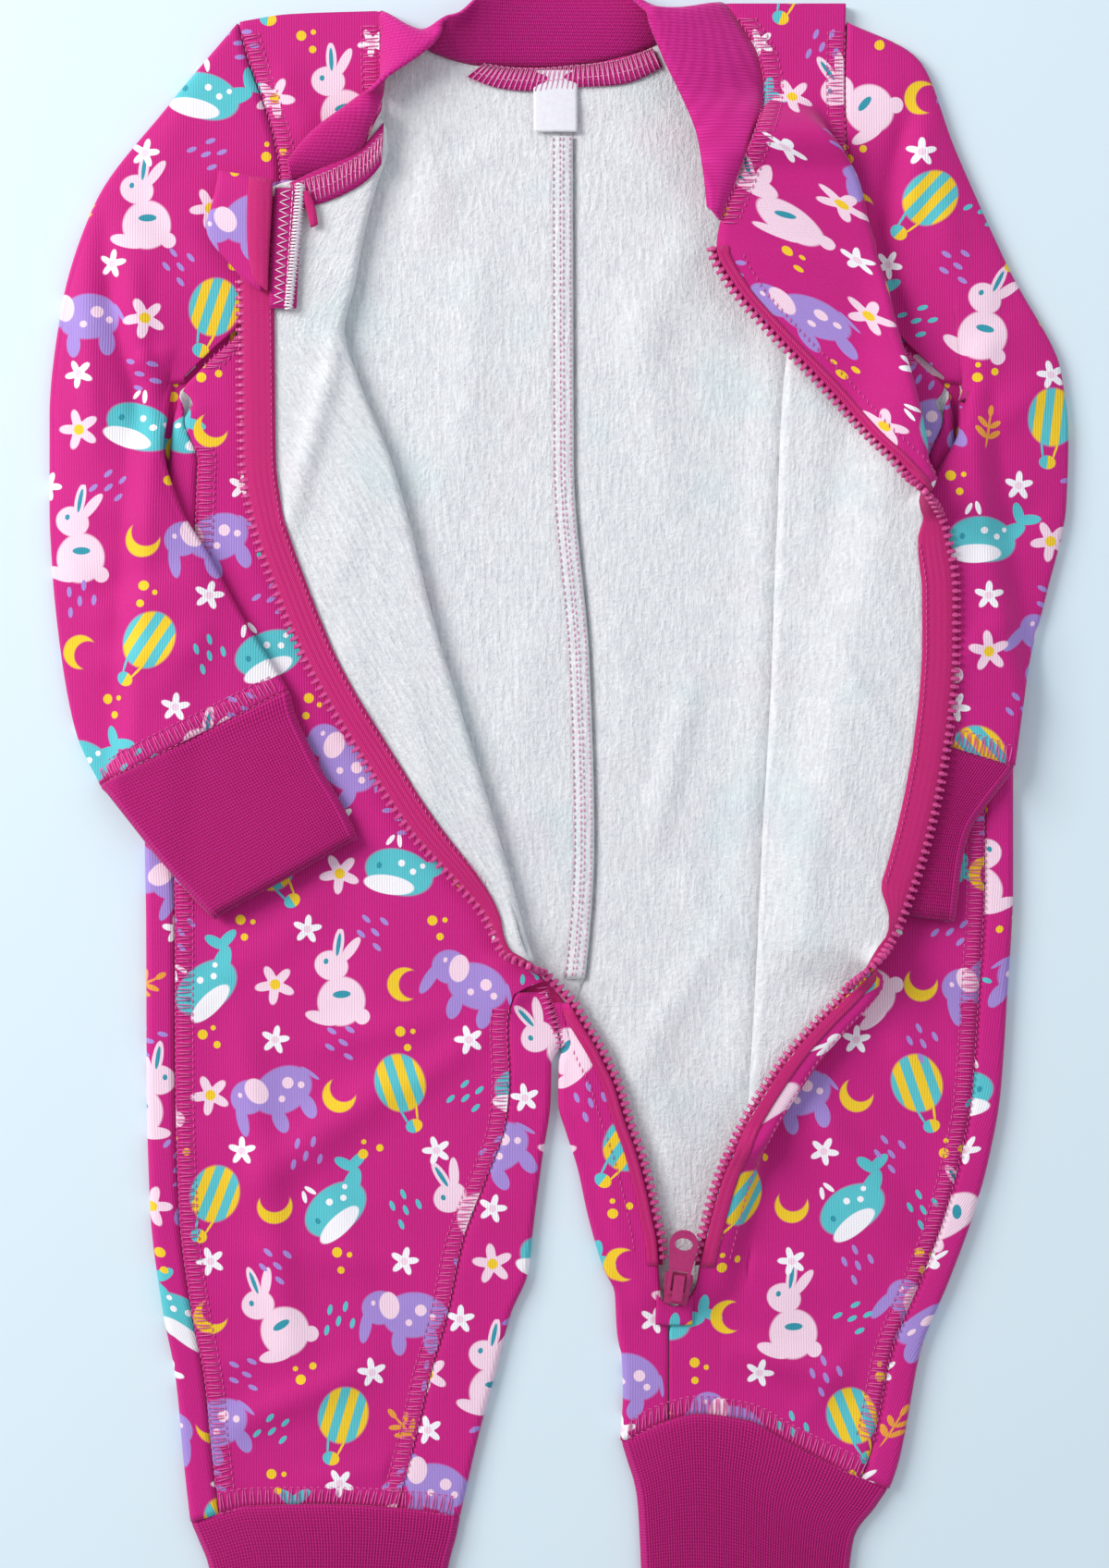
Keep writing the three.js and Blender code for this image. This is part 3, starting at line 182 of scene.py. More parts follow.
# soft ridges and troughs: a line, its half width and its height (negative for a trough)
creases = dict(
    body=table("fromX fromY toX toY width height", [
        (-60, -112, -112, -150, 8, 2.9), (-118, -96, -100, -215, 7, 2.5), (-72, -222, -124, -244, 6, 2.2),
        (96, -122, 136, -172, 7, 2.9), (70, -214, 112, -226, 6, 2.4), (128, -96, 150, -128, 6, 2.2),
        (70, -132, 54, -176, 4.5, 2.2), (60, -128, 47, -170, 4, 1.8), (30, -150, 36, -186, 4, 1.6),
        (-106, 270, -92, 248, 7, 1.6), (-30, -96, -58, -118, 5, 1.5), (-44, -88, -92, -100, 5, 1.0),
        (-66, -182, -118, -176, 6, 0.9), (-132, -128, -112, -168, 5, 0.9), (-88, -148, -70, -196, 5, 0.8),
        (-142, -222, -96, -214, 6, 0.8), (-60, -258, -98, -266, 5, 0.8), (66, -176, 96, -196, 5, 1.0),
        (118, -206, 92, -244, 5, 0.9), (148, -60, 158, -118, 6, 1.0), (-112, -60, -140, -88, 6, 1.0),
        (-86, -38, -112, -70, 6, 0.9), (56, -222, 60, -240, 5, 0.8)]),
    fleece=table("fromX fromY toX toY width height", [
        (52, 38, 38, -22, 4.5, 2.3), (58, 34, 47, -34, 6, -0.5), (47, -34, 70, -68, 5, 2.1),
        (-48, 120, -40, 20, 7, 1.5), (-28, 210, -36, 120, 8, 1.4), (-12, -10, -22, -60, 5, 1.8),
        (30, 190, 44, 110, 8, 1.5), (72, -12, 66, -70, 5, 2.1), (60, -60, 30, -110, 6, 1.8),
        (-52, 252, -44, 206, 9, 2.0), (54, 214, 30, 160, 9, 1.6), (-8, 60, -14, 10, 9, 1.2),
        (24, 70, 30, 10, 5, 0.8), (44, 236, 26, 246, 6, 0.8), (-44, 226, -20, 244, 6, 0.8),
        (36, -96, 46, -150, 5, 1.2), (26, -84, 34, -120, 4, 1.0), (-34, 66, -22, 6, 5, 0.8)]),
    lapel=table("fromX fromY toX toY width height", [
        (-81, 169, -87.5, 146, 3.2, 2.4), (-87.5, 146, -96, 115, 3.4, 2.8), (-96, 115, -100, 97, 3.0, 2.0),
        (-80, 60, -70, 20, 6, 1.0), (-58, 40, -46, -6, 5, 0.9), (-74, 112, -84, 70, 6, 0.8),
        (92, 70, 131, 12, 3.6, 1.2), (104, 0, 120, -34, 5, 0.9), (100, 150, 96, 60, 5, 0.8),
        (96, -18, 92, -60, 5, 0.9), (118, 92, 132, 50, 6, 0.8)]),
    sleeveRight=table("fromX fromY toX toY width height", [
        (-172, 215, -168, 182, 4.6, -2.9), (-168, 182, -153, 126, 4.6, -3.0),
        (-180, 196, -174, 132, 5.6, 2.1), (-160, 196, -157, 160, 5, 1.8),
        (-157, 162, -148, 151, 4, 2.8), (-150, 164, -134, 160, 4, 2.0),
        (-148, 148, -144, 134, 4, -1.6), (-184, 110, -150, 96, 6, 1.3), (-182, 70, -140, 84, 7, -1.4),
        (-176, 44, -136, 52, 6, 1.2), (-140, 270, -150, 236, 7, 1.6), (-162, 232, -140, 196, 6, -1.4),
        (-126, 64, -150, 34, 6, 1.2), (-190, 90, -168, 60, 5, 1.2)]),
    sleeveLeft=table("fromX fromY toX toY width height", [
        (134, 252.7, 127.4, 230, 4, -2.6), (127.4, 230, 123.2, 209.7, 4, -2.6), (141, 252, 134, 214, 5, 1.8),
        (123.2, 209.7, 132.7, 169.4, 5, -2.0), (144, 240, 150, 200, 7, 1.4), (168, 178, 158, 150, 6, 1.7),
        (186, 150, 160, 132, 6, 1.4), (186, 106, 156, 88, 6, -1.4), (176, 66, 150, 46, 5, 1.2),
        (120, 272, 132, 262, 6, 1.3), (180, 190, 162, 170, 5, -1.4)]),
)


def relief(kind, x, y):
    height = np.zeros_like(np.asarray(x, float))
    for crease in creases[kind]:
        alongX, alongY = crease["toX"] - crease["fromX"], crease["toY"] - crease["fromY"]
        length = math.hypot(alongX, alongY)
        share = ((x - crease["fromX"]) * alongX + (y - crease["fromY"]) * alongY) / length ** 2
        off = np.abs((x - crease["fromX"]) * alongY - (y - crease["fromY"]) * alongX) / length
        ends = smooth((share + 0.25) / 0.5) * smooth((1.25 - share) / 0.5)
        height += crease["height"] * ends * np.exp(-((off / crease["width"]) ** 2))
    return height


def walk(x, z, facing, parts):  # a section: lengths of cloth that each turn evenly
    xs, zs, which, run = [x], [z], [0], [0.0]
    heading = 0.0
    for part, (length, turn, steps) in enumerate(parts):
        angle = turn / steps
        chord = length / steps if abs(angle) < 1e-6 else 2 * (length / turn) * math.sin(angle / 2)
        for _ in range(steps):
            middle = heading + angle / 2
            xs.append(xs[-1] + facing * chord * math.cos(middle))
            zs.append(zs[-1] + chord * math.sin(middle))
            run.append(run[-1] + abs(chord))
            which.append(part)
            heading += angle
    return np.array(xs), np.array(zs), np.array(which), np.array(run)


class Panel:  # a grid of points in the middle of the cloth, with the side that faces outward first
    def __init__(self, points, flat, closed=False, outsideUp=True):
        self.points = np.array(points, float)
        self.flat = np.array(flat, float)  # where each point lies on the cut cloth
        self.closed = closed
        grid = self.points
        along = np.gradient(grid, axis=0)
        if closed:
            across = np.roll(grid, -1, axis=1) - np.roll(grid, 1, axis=1)
        else:
            across = np.gradient(grid, axis=1)
        normals = unit(np.cross(across, along))
        start = normals[:, 1:4, 2].mean()
        self.normals = normals if (start > 0) == outsideUp else -normals

    def rowsBetween(self, end, top, bottom):
        return [row for row in range(len(self.points)) if bottom <= self.points[row, end, 1] <= top]

    def rowFrom(self, row, end):  # a row's points and normals from one side inwards, and the run along it
        turn = 1 if end == 0 else -1
        points = self.points[row][::turn]
        return points, self.normals[row][::turn], runAlong(points)

    def inset(self, distances, end, top, bottom, lift):
        # points some distances in from one side, lifted off the outward face
        lines = []
        for row in self.rowsBetween(end, top, bottom):
            points, normals, run = self.rowFrom(row, end)
            lines.append(atRun(distances, run, points) + unit(atRun(distances, run, normals)) * lift)
        return np.array(lines)


def shell(name, panel, thickness, materials, rib=None, roundRows=False):
    points, normals, closed = panel.points, panel.normals, panel.closed
    rows, columns = points.shape[:2]
    half = np.full((rows, columns), thickness / 2)
    if not closed:
        for k, share in enumerate(rounding["sides"]):
            half[:, k] *= share
            half[:, columns - 1 - k] *= share
    if roundRows:
        for k, share in enumerate(rounding["rows"]):
            half[k] *= share
            half[rows - 1 - k] *= share
    raised = half if rib is None else half + rib
    outer = points + normals * raised[..., None]
    inner = points - normals * half[..., None]
    verts = np.concatenate([outer.reshape(-1, 3), inner.reshape(-1, 3)])
    verts[:, 2] = np.maximum(verts[:, 2], tableClearance)
    count = rows * columns
    spans = columns if closed else columns - 1
    r, c = np.meshgrid(np.arange(rows - 1), np.arange(spans), indexing="ij")
    right = (c + 1) % columns
    a, b, d, e = r * columns + c, r * columns + right, (r + 1) * columns + right, (r + 1) * columns + c
    top = np.stack([a, e, d, b], axis=-1).reshape(-1, 4)
    first = verts[top[0]]
    if np.dot(np.cross(first[1] - first[0], first[2] - first[0]), normals[0, 0]) < 0:
        top = top[:, ::-1]
    under = top[:, ::-1] + count
    rim = []
    for row in (0, rows - 1):
        k = np.arange(spans)
        left, following = row * columns + k, row * columns + (k + 1) % columns
        rim.append(np.stack([left, following, following + count, left + count], axis=-1))
    if not closed:
        for column in (0, columns - 1):
            k = np.arange(rows - 1)
            upper, lower = k * columns + column, (k + 1) * columns + column
            rim.append(np.stack([upper, lower, lower + count, upper + count], axis=-1))
    rim = np.concatenate(rim)
    faces = np.concatenate([top, under, rim])
    slots = np.concatenate([np.zeros(len(top)), np.ones(len(under)), np.full(len(rim), len(materials) - 1)])
    flat = np.concatenate([panel.flat.reshape(-1, 2)] * 2)
    piece = makeMesh(name, verts, faces.tolist(), materials, slots, flat)
    if closed and panel.wraps:  # the knit runs on round the tube
        closeSeam(piece, columns, rows, panel.flat)
    return piece


def makeMesh(name, verts, faces, materials, slots=None, flat=None, smoothFaces=True):
    mesh = bpy.data.meshes.new(name)
    mesh.from_pydata((np.asarray(verts, float) / 1000).tolist(), [], faces)
    for material in materials:
        mesh.materials.append(material)
    if slots is not None:
        mesh.polygons.foreach_set("material_index", np.asarray(slots, np.int32))
    if flat is not None:
        layer = mesh.uv_layers.new(name="cloth")
        index = np.empty(len(mesh.loops), np.int32)
        mesh.loops.foreach_get("vertex_index", index)
        layer.data.foreach_set("uv", np.asarray(flat, np.float32)[index].ravel())
    mesh.polygons.foreach_set("use_smooth", np.full(len(mesh.polygons), smoothFaces))
    mesh.validate()
    mesh.update()
    mendNormals(mesh)
    piece = bpy.data.objects.new(name, mesh)
    bpy.context.collection.objects.link(piece)
    return piece


def mendNormals(mesh):
    work = bmesh.new()
    work.from_mesh(mesh)
    bmesh.ops.recalc_face_normals(work, faces=work.faces)
    work.to_mesh(mesh)
    work.free()


def closeSeam(piece, columns, rows, flat):
    layer = piece.data.uv_layers["cloth"]
    width = float(np.max(flat[:, -1, 0] - flat[:, 0, 0])) / (columns - 1) * columns
    for polygon in piece.data.polygons:
        loops = list(polygon.loop_indices)
        us = [layer.data[k].uv[0] for k in loops]
        if max(us) - min(us) > width / 2:
            for k in loops:
                if layer.data[k].uv[0] < min(us) + width / 2:
                    layer.data[k].uv[0] += width


def dress(piece, nodes, cut=None, area=None, held="laid", restsOn=()):
    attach(piece, "garment")
    if nodes:
        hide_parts(*nodes)
    if cut:
        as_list(restsOn)
    return piece


# materials: Python expressions on sockets make the Math nodes
class Field:
    def __init__(self, shader, socket):
        self.shader = shader
        self.socket = socket

    def math(self, operation, *others):
        return self.shader.node("Math", dict(operation=operation), (self,) + others)

    def __add__(self, other):
        return self.math("ADD", other)

    def __sub__(self, other):
        return self.math("SUBTRACT", other)

    def __rsub__(self, other):
        return self.shader.node("Math", dict(operation="SUBTRACT"), (other, self))

    def __mul__(self, other):
        return self.math("MULTIPLY", other)

    def __truediv__(self, other):
        return self.math("DIVIDE", other)

    __radd__ = __add__
    __rmul__ = __mul__


class Shader:
    def __init__(self, name, **sockets):
        self.material = bpy.data.materials.new(name)
        self.material.use_nodes = True
        self.tree = self.material.node_tree
        self.surface = self.tree.nodes["Principled BSDF"]
        self.set(**sockets)

    def node(self, kind, settings=None, inputs=(), out=0):
        new = self.tree.nodes.new("ShaderNode" + kind)
        for key, value in (settings or {}).items():
            if key == "stops":
                self.setStops(new.color_ramp, value)
            else:
                setattr(new, key, value)
        pairs = inputs.items() if isinstance(inputs, dict) else enumerate(inputs)
        for key, value in pairs:
            if isinstance(value, Field):
                self.tree.links.new(value.socket, new.inputs[key])
            else:
                new.inputs[key].default_value = value
        return Field(self, new.outputs[out])

    def setStops(self, ramp, stops):
        for k, (place, tone) in enumerate(stops):
            stop = ramp.elements[k] if k < 2 else ramp.elements.new(place)
            stop.position = place
            stop.color = tone

    def set(self, **sockets):  # a socket's name in camelCase
        for name, value in sockets.items():
            words = "".join(" " + letter if letter.isupper() else letter for letter in name)
            socket = self.surface.inputs[words.title().replace("Ior", "IOR")]
            if isinstance(value, Field):
                self.tree.links.new(value.socket, socket)
            else:
                socket.default_value = value

    def blend(self, share, first, second, how="MIX"):
        settings = dict(data_type="RGBA", blend_type=how)
        return self.node("Mix", settings, {0: share, 6: first, 7: second}, out=2)

    def noise(self, place, scale, detail=3.0, roughness=0.55, out=0):
        inputs = {"Vector": place, "Scale": scale, "Detail": detail, "Roughness": roughness}
        return self.node("TexNoise", None, inputs, out=out)

    def bump(self, height, distance, strength=1.0):
        return self.node("Bump", None, {"Strength": strength, "Distance": distance, "Height": height})

    def cutPlace(self):  # millimetres on the cut cloth
        return self.node("UVMap", dict(uv_map="cloth"))

    def parts(self, vector):
        split = self.node("SeparateXYZ", None, (vector,))
        return split, Field(self, split.socket.node.outputs[1])

    def join(self, x, y):
        return self.node("CombineXYZ", None, (x, y, 0.0))


def tone(red, green, blue):
    linear = [v / 255 / 12.92 if v <= 10 else ((v / 255 + 0.055) / 1.055) ** 2.4
              for v in (red, green, blue)]
    return (*linear, 1.0)


tones = dict(
    magenta=tone(212, 20, 136), turquoise=tone(88, 196, 206), deepTurquoise=tone(44, 150, 170),
    blush=tone(250, 214, 232), lilac=tone(168, 138, 214), yellow=tone(248, 204, 36),
    orange=tone(238, 158, 56), white=tone(252, 246, 252))


class Motifs:  # generic nursery figures from ellipses, each in its own cell of the cloth
    def __init__(self, shader):
        self.shader = shader

    def cell(self, place, pitchX, pitchY, shiftX, shiftY, sway):
        # place in the cell about its middle, in millimetres, turned by the cell's own angle
        s = self.shader
        x, y = s.parts(place)
        row = ((y + shiftY) / pitchY).math("FLOOR")
        across = (x + shiftX) / pitchX + row * 0.5
        column = across.math("FLOOR")
        localX = (across - column - 0.5) * pitchX
        localY = ((y + shiftY) / pitchY - row - 0.5) * pitchY
        seed = s.join(column + 17.3, row + 5.7)
        chance = s.node("TexWhiteNoise", dict(noise_dimensions="2D"), {"Vector": seed})
        local = s.node("VectorRotate", dict(rotation_type="Z_AXIS"),
                       {"Vector": s.join(localX, localY), "Angle": (chance - 0.5) * sway})
        return local, column, row

    def kind(self, column, row, count, turns=(1, 2)):
        number = (column * turns[0] + row * turns[1]).math("FLOORED_MODULO", float(count))
        compare = dict(operation="COMPARE")
        return [self.shader.node("Math", compare, (number, float(k), 0.4)) for k in range(count)]

    def oval(self, place, x, y, width, height, turn=0.0):
        inputs = {0: place, 1: (x, y, 0), 2: (0, 0, math.radians(turn)), 3: (width, height, 1)}
        moved = self.shader.node("Mapping", dict(vector_type="TEXTURE"), inputs)
        return self.shader.node("VectorMath", dict(operation="LENGTH"), (moved,), out=1)

    def union(self, place, ovals):
        found = None
        for oval in ovals:
            shape = self.oval(place, *oval)
            found = shape if found is None else found.math("MINIMUM", shape)
        return found

    def inside(self, field, softness=0.045):
        inputs = {0: field, 1: 1 + softness, 2: 1 - softness, 3: 0.0, 4: 1.0}
        return self.shader.node("MapRange", dict(clamp=True), inputs)


motifOvals = dict(
    whale=[(-2, 0, 13, 8.6), (8, 3.2, 7.4, 3.2, 32), (15.5, 9.4, 4.8, 2, 8), (11.4, 11.4, 2, 4.4, 22)],
    whaleBelly=[(-4.5, -5.6, 9.6, 3.6, 6), (-5, 11.6, 0.9, 2.6, 20), (-8.4, 11, 0.9, 2.4, -24),
                (-2, 3.6, 1.3, 1.3), (3, 1.6, 1.2, 1.2), (6, 4.6, 1, 1)],
    whaleEye=[(-10, 0.6, 1, 1.2)],
    rabbit=[(2.4, -6, 9, 9.4), (-5, 6, 6.4, 5.6), (-4.6, 14.4, 2, 6.4, 8), (0.2, 13.6, 1.9, 6, -22),
            (11.6, -9.4, 3, 3), (-3, -14.2, 6.4, 2.4)],
    rabbitMarks=[(-7.4, 7, 0.9, 1.1), (-4.6, 14.4, 0.8, 4.4, 8), (1.8, -3.4, 3.4, 1.4, 20)],
    elephant=[(3.4, 0.4, 11.6, 8.6), (-9, 4, 6.8, 6.4), (-14.8, -2.6, 2.2, 6.6, -14), (-2.6, -9.6, 2.8, 5),
              (9.4, -9.6, 2.8, 5), (15.6, 1.4, 0.8, 4.2, 28)],
    elephantMarks=[(-5.4, 4.6, 3.8, 5.2, 8), (6.4, 2, 2.2, 2.2), (10.6, -1, 1.3, 1.3), (1.6, -2.4, 1.3, 1.3),
                   (-11.4, 6, 0.8, 1)],
    balloon=[(0, 5, 9.4, 11), (0, -12.2, 3.2, 2.6), (-2.6, -7.4, 0.45, 3.6, 12), (2.6, -7.4, 0.45, 3.6, -12)],
    moon=[(0, 0, 6.4, 6.4)],
    sprig=[(0, 0, 0.5, 7.4), (-2.6, -1.6, 2.9, 1.1, -38), (2.6, -1.6, 2.9, 1.1, 38), (-2.5, 2.2, 2.6, 1, -38),
           (2.5, 2.2, 2.6, 1, 38), (0, 7, 1.1, 2.2)],
    drops=[(-3.4, 3, 0.9, 2, -18), (2.6, 3.6, 0.9, 2, -18), (-0.6, -1.6, 0.9, 2, -18), (4.6, -3, 0.9, 2, -18),
           (-5.4, -4.6, 0.9, 2, -18)],
    dots=[(-3, 2, 1.9, 1.9), (2.6, -1.8, 1.4, 1.4), (1, 4.6, 1, 1)],
)
# small figures sit between the large ones, and two to each large one fill the gaps above and below them
lattices = dict(
    large=dict(pitchX=49.0, pitchY=42.0, shiftX=8.0, shiftY=13.0, sway=1.5),
    small=dict(pitchX=49.0, pitchY=42.0, shiftX=32.5, shiftY=13.0, sway=2.4),
    gaps=dict(pitchX=24.5, pitchY=42.0, shiftX=20.25, shiftY=34.0, sway=3.0))


def printColour(s):  # the all-over nursery print on its magenta ground
    motifs = Motifs(s)
    place = s.cutPlace()
    colour = s.blend(s.noise(place, 0.9, 2.0), tones["magenta"], tone(194, 12, 120))

    def paint(colour, at, figure, chosen, figureTone):
        shape = motifs.inside(motifs.union(at, motifOvals[figure]))
        return s.blend(shape * chosen, colour, figureTone)

    at, column, row = motifs.cell(place, **lattices["large"])
    isWhale, isRabbit, isElephant, isBalloon = motifs.kind(column, row, 4)
    for figure, chosen, toneName in (
            ("whale", isWhale, "turquoise"), ("whaleBelly", isWhale, "white"),
            ("whaleEye", isWhale, "deepTurquoise"), ("rabbit", isRabbit, "blush"),
            ("rabbitMarks", isRabbit, "deepTurquoise"), ("elephant", isElephant, "lilac"),
            ("elephantMarks", isElephant, "blush")):
        colour = paint(colour, at, figure, chosen, tones[toneName])
    x, y = s.parts(at)
    stripes = (x * 0.9).math("SINE").math("GREATER_THAN", 0.0)
    colour = paint(colour, at, "balloon", isBalloon, s.blend(stripes, tones["turquoise"], tones["yellow"]))

    at, column, row = motifs.cell(place, **lattices["small"])
    isMoon, isFlower, isSprig, isDrops = motifs.kind(column, row, 4, (3, 1))
    bite = motifs.inside(motifs.oval(at, 2.9, 1.6, 5.4, 5.4))
    moon = motifs.inside(motifs.union(at, motifOvals["moon"])) * (1 - bite)
    colour = s.blend(moon * isMoon, colour, tones["yellow"])
    colour = petals(motifs, colour, at, isFlower, 7.6, ("blush", "yellow"))
    colour = paint(colour, at, "sprig", isSprig, tones["orange"])
    colour = paint(colour, at, "drops", isDrops, tones["turquoise"])

    at, column, row = motifs.cell(place, **lattices["gaps"])
    isStar, isSpray, isDots = motifs.kind(column, row, 3)
    colour = petals(motifs, colour, at, isStar, 5.4, ("white", "blush"))
    colour = paint(colour, at, "drops", isSpray, tones["lilac"])
    return place, paint(colour, at, "dots", isDots, tones["yellow"])


def petals(motifs, colour, place, chosen, size, toneNames):
    s = motifs.shader
    x, y = s.parts(place)
    angle = s.node("Math", dict(operation="ARCTAN2"), (y, x))
    radius = s.node("VectorMath", dict(operation="LENGTH"), (place,), out=1)
    reach = ((angle * 5.0).math("COSINE") * 0.3 + 0.72) * size
    for shape, toneName in zip((radius / reach, radius / (size * 0.26)), toneNames):
        colour = s.blend(motifs.inside(shape) * chosen, colour, tones[toneName])
    return colour


def printMaterial():
    s = Shader("printCloth", roughness=0.72, sheenWeight=0.16, sheenRoughness=0.4, specularIorLevel=0.35)
    place, colour = printColour(s)
    x, y = s.parts(place)
    wales = (x * 6.6 + s.noise(place, 0.12, 1.0) * 3.0).math("SINE")  # jersey wales, about 0.95 mm apart
    knit = wales * 0.75 + wales * (y * 8.0).math("SINE") * 0.4
    grain = s.noise(place, 1.7, 3.0, 0.6)
    cloud = s.noise(place, 0.035, 2.0)
    shade = s.node("MapRange", None, {0: knit * 0.3 + grain + cloud * 0.7, 1: 0.25, 2: 1.45, 3: 0.83, 4: 1.1})
    s.set(baseColor=s.blend(1.0, colour, s.node("CombineColor", None, (shade, shade, shade)), "MULTIPLY"))
    s.set(normal=s.bump(knit * 0.45 + grain * 0.6, 0.0003, 0.6))
    return s.material


def fleeceMaterial():
    s = Shader("brushedFleece", roughness=0.95, sheenWeight=0.55, sheenRoughness=0.6, specularIorLevel=0.15)
    place = s.cutPlace()
    tufts = s.noise(place, 0.62, 5.0, 0.7)
    stretched = s.node("Mapping", None, {0: place, 3: (1.0, 0.2, 1.0)})
    grain = s.noise(stretched, 0.6, 4.0, 0.6)
    # the nap's streaks and tufts: partly the fleece's own mottling, partly painted shade in the hollows of
    # the pile, darker where the noise is low
    napAndPileShade = s.node("MapRange", None, {0: grain * 0.6 + tufts * 0.5, 1: 0.36, 2: 0.72, 3: 0.0, 4: 1.0})
    colour = s.blend(napAndPileShade, tone(214, 214, 220), tone(252, 252, 253))
    blue = s.node("MapRange", None, {0: s.noise(place, 0.021, 1.0), 1: 0.56, 2: 0.74, 3: 0.0, 4: 0.22})
    shifted = s.node("Mapping", None, {0: place, 1: (900.0, 400.0, 0.0)})
    pink = s.node("MapRange", None, {0: s.noise(shifted, 0.03, 1.0), 1: 0.58, 2: 0.76, 3: 0.0, 4: 0.14})
    colour = s.blend(blue, colour, tone(176, 228, 226))
    colour = s.blend(pink, colour, tone(244, 190, 216))
    s.set(baseColor=colour, normal=s.bump(tufts * 0.7 + grain * 0.6, 0.0016, 0.9))
    return s.material


def ribMaterial(name, dark, light):
    s = Shader(name, roughness=0.82, sheenWeight=0.16, sheenRoughness=0.45, specularIorLevel=0.3)
    place = s.cutPlace()
    x, y = s.parts(place)
    stitch = (y * 5.2 + (x * 5.236).math("SINE") * 0.8).math("SINE")
    tuft = s.noise(place, 1.4, 3.0)
    shade = s.node("MapRange", None, {0: stitch * 0.25 + tuft, 1: 0.2, 2: 1.0, 3: 0.0, 4: 1.0})
    colour = s.blend(shade, dark, light)
    s.set(baseColor=colour, normal=s.bump(stitch * 0.4 + tuft * 0.5, 0.0003, 0.6))
    return s.material


def tapeMaterial():
    s = Shader("zipTape", roughness=0.62, sheenWeight=0.1, specularIorLevel=0.4)
    place = s.cutPlace()
    x, y = s.parts(place)
    slant = ((x * 0.42).math("FRACT") - 0.5).math("ABSOLUTE")
    weave = ((y + slant * 3.0) * 6.6).math("SINE")
    grain = s.noise(place, 1.8, 2.0)
    shade = s.node("MapRange", None, {0: weave * 0.4 + grain, 1: -0.2, 2: 1.2, 3: 0.0, 4: 1.0})
    s.set(baseColor=s.blend(shade, tone(176, 4, 92), tone(226, 16, 130)), normal=s.bump(weave, 0.0002, 0.6))
    return s.material


def plainMaterial(name, dark, light, scale, bumpHeight, **sockets):
    s = Shader(name, **sockets)
    place = s.node("TexCoord", out=3)
    cloud = s.noise(place, scale, 4.0)
    s.set(baseColor=s.blend(cloud, dark, light), normal=s.bump(cloud, bumpHeight, 0.4))
    return s.material


def labelMaterial():
    s = Shader("satinLabel", roughness=0.42, sheenWeight=0.2, specularIorLevel=0.5)
    place = s.cutPlace()
    x, y = s.parts(place)
    rows = (y * 16.0).math("SINE")
    cloud = s.noise(place, 0.5, 2.0)
    shade = s.node("MapRange", None, {0: rows * 0.3 + cloud, 1: 0.0, 2: 1.2, 3: 0.0, 4: 1.0})
    colour = s.blend(shade, tone(228, 224, 234), tone(252, 250, 253))
    s.set(baseColor=colour, normal=s.bump(rows, 0.00008, 0.5))
    return s.material


finish = dict(
    printed=printMaterial(), fleece=fleeceMaterial(), tape=tapeMaterial(), label=labelMaterial(),
    rib=ribMaterial("ribKnit", tone(168, 8, 100), tone(206, 30, 138)),
    # painted light: the collar's rib is the same knit as the cuff rib in lighter tones, as if lit more from
    # the left
    collar=ribMaterial("litCollarRibKnit", tone(186, 14, 118), tone(222, 44, 154)),
    teeth=plainMaterial("mouldedTeeth", tone(190, 46, 124), tone(222, 86, 154), 900, 0.00004, roughness=0.38),
    metal=plainMaterial("paintedMetal", tone(176, 30, 100), tone(206, 56, 128), 500, 0.00003,
                        roughness=0.3, metallic=0.35, coatWeight=0.4),
    thread=plainMaterial("paleThread", tone(220, 90, 160), tone(240, 190, 216), 1500, 0.0001, roughness=0.7),
    seamThread=plainMaterial("pinkThread", tone(208, 52, 142), tone(236, 116, 180), 1200, 0.0001,
                             roughness=0.7),
    threadWhite=plainMaterial("whiteThread", tone(232, 216, 228), tone(250, 244, 250), 1500, 0.0001,
                              roughness=0.7),
)
print("materials made")


# back halves, the left and right sides are the wearer's
def wrapAt(y):
    return 1 + (sideRun - 1) * smooth((armpitRow - 12 - y) / 17)


def sideTurn(y):
    return smooth((armpitRow - y) / 12)


armpitEase = 3.8
legStart = -97.0
foldRightX = reader(table("y x", [
    (246, -64.6), (230, -67.4), (209, -73), (190, -76.5), (172, -80.5), (151, -74.4), (122, -62.7), (99, -56),
    (72, -49.4), (52, -44), (36, -39), (8, -30.5), (-19, -22.4), (-36, -17.5), (-64, -9.6)]), "y")
foldLeftX = reader(table("y x", [(296, 102), (230, 100.8), (190, 92.6), (151, 87.7), (99, 85.4), (36, 83),
                                 (-36, 79), (-128, 74), (-190, 60)]), "y")


def inOpening(x, y):
    return smooth((x - foldRightX(y) - 4) / 16) * smooth((foldLeftX(y) - x - 4) / 14) * smooth((y + 175) / 30)


def backHalf(facing, outer, arm, inner, hem, edges):
    grid, flat = [], []
    for y in spaced(topRow, hem, fabric["step"]):
        up = sideTurn(y)
        seam = line["centreBack"](y) + facing * 0.06
        leg = inner(y) + facing * (innerRadius + 2 * fabric["gap"] + fabric["thickness"] / 2)
        start = mix(seam, leg, smooth((legStart + 3 - y) / 4))
        end = arm(y) if y > armpitRow - 1 else outer(y)
        reach = abs(end - start)
        length = mix(reach - math.pi * foldRadius - wrapAt(y), reach - foldRadius, up)
        parts = [(length, 0, stepCount["back"]), (math.pi * foldRadius, up * math.pi, stepCount["arc"]),
                 (wrapAt(y), 0, stepCount["wrap"])]
        x, z, part, run = walk(start, level["back"], facing, parts)
        shifted = bend(x, y, edges)
        lift = np.maximum(0, relief("fleece", x, shifted)) * inOpening(x, y) * (part == 0)
        foot = smooth((x - foldLeftX(y) + 17) / 13) * (1 - smooth((x - foldLeftX(y) + 3) / 3))
        lift = lift + 2.2 * foot * smooth((y + 128) / 30) * (1 - smooth((y - 190) / 40)) * (part == 0)
        grid.append(np.stack([x, shifted, z + lift], axis=-1))
        flat.append(np.stack([start + facing * run, shifted], axis=-1))
    return Panel(grid, flat, outsideUp=False)


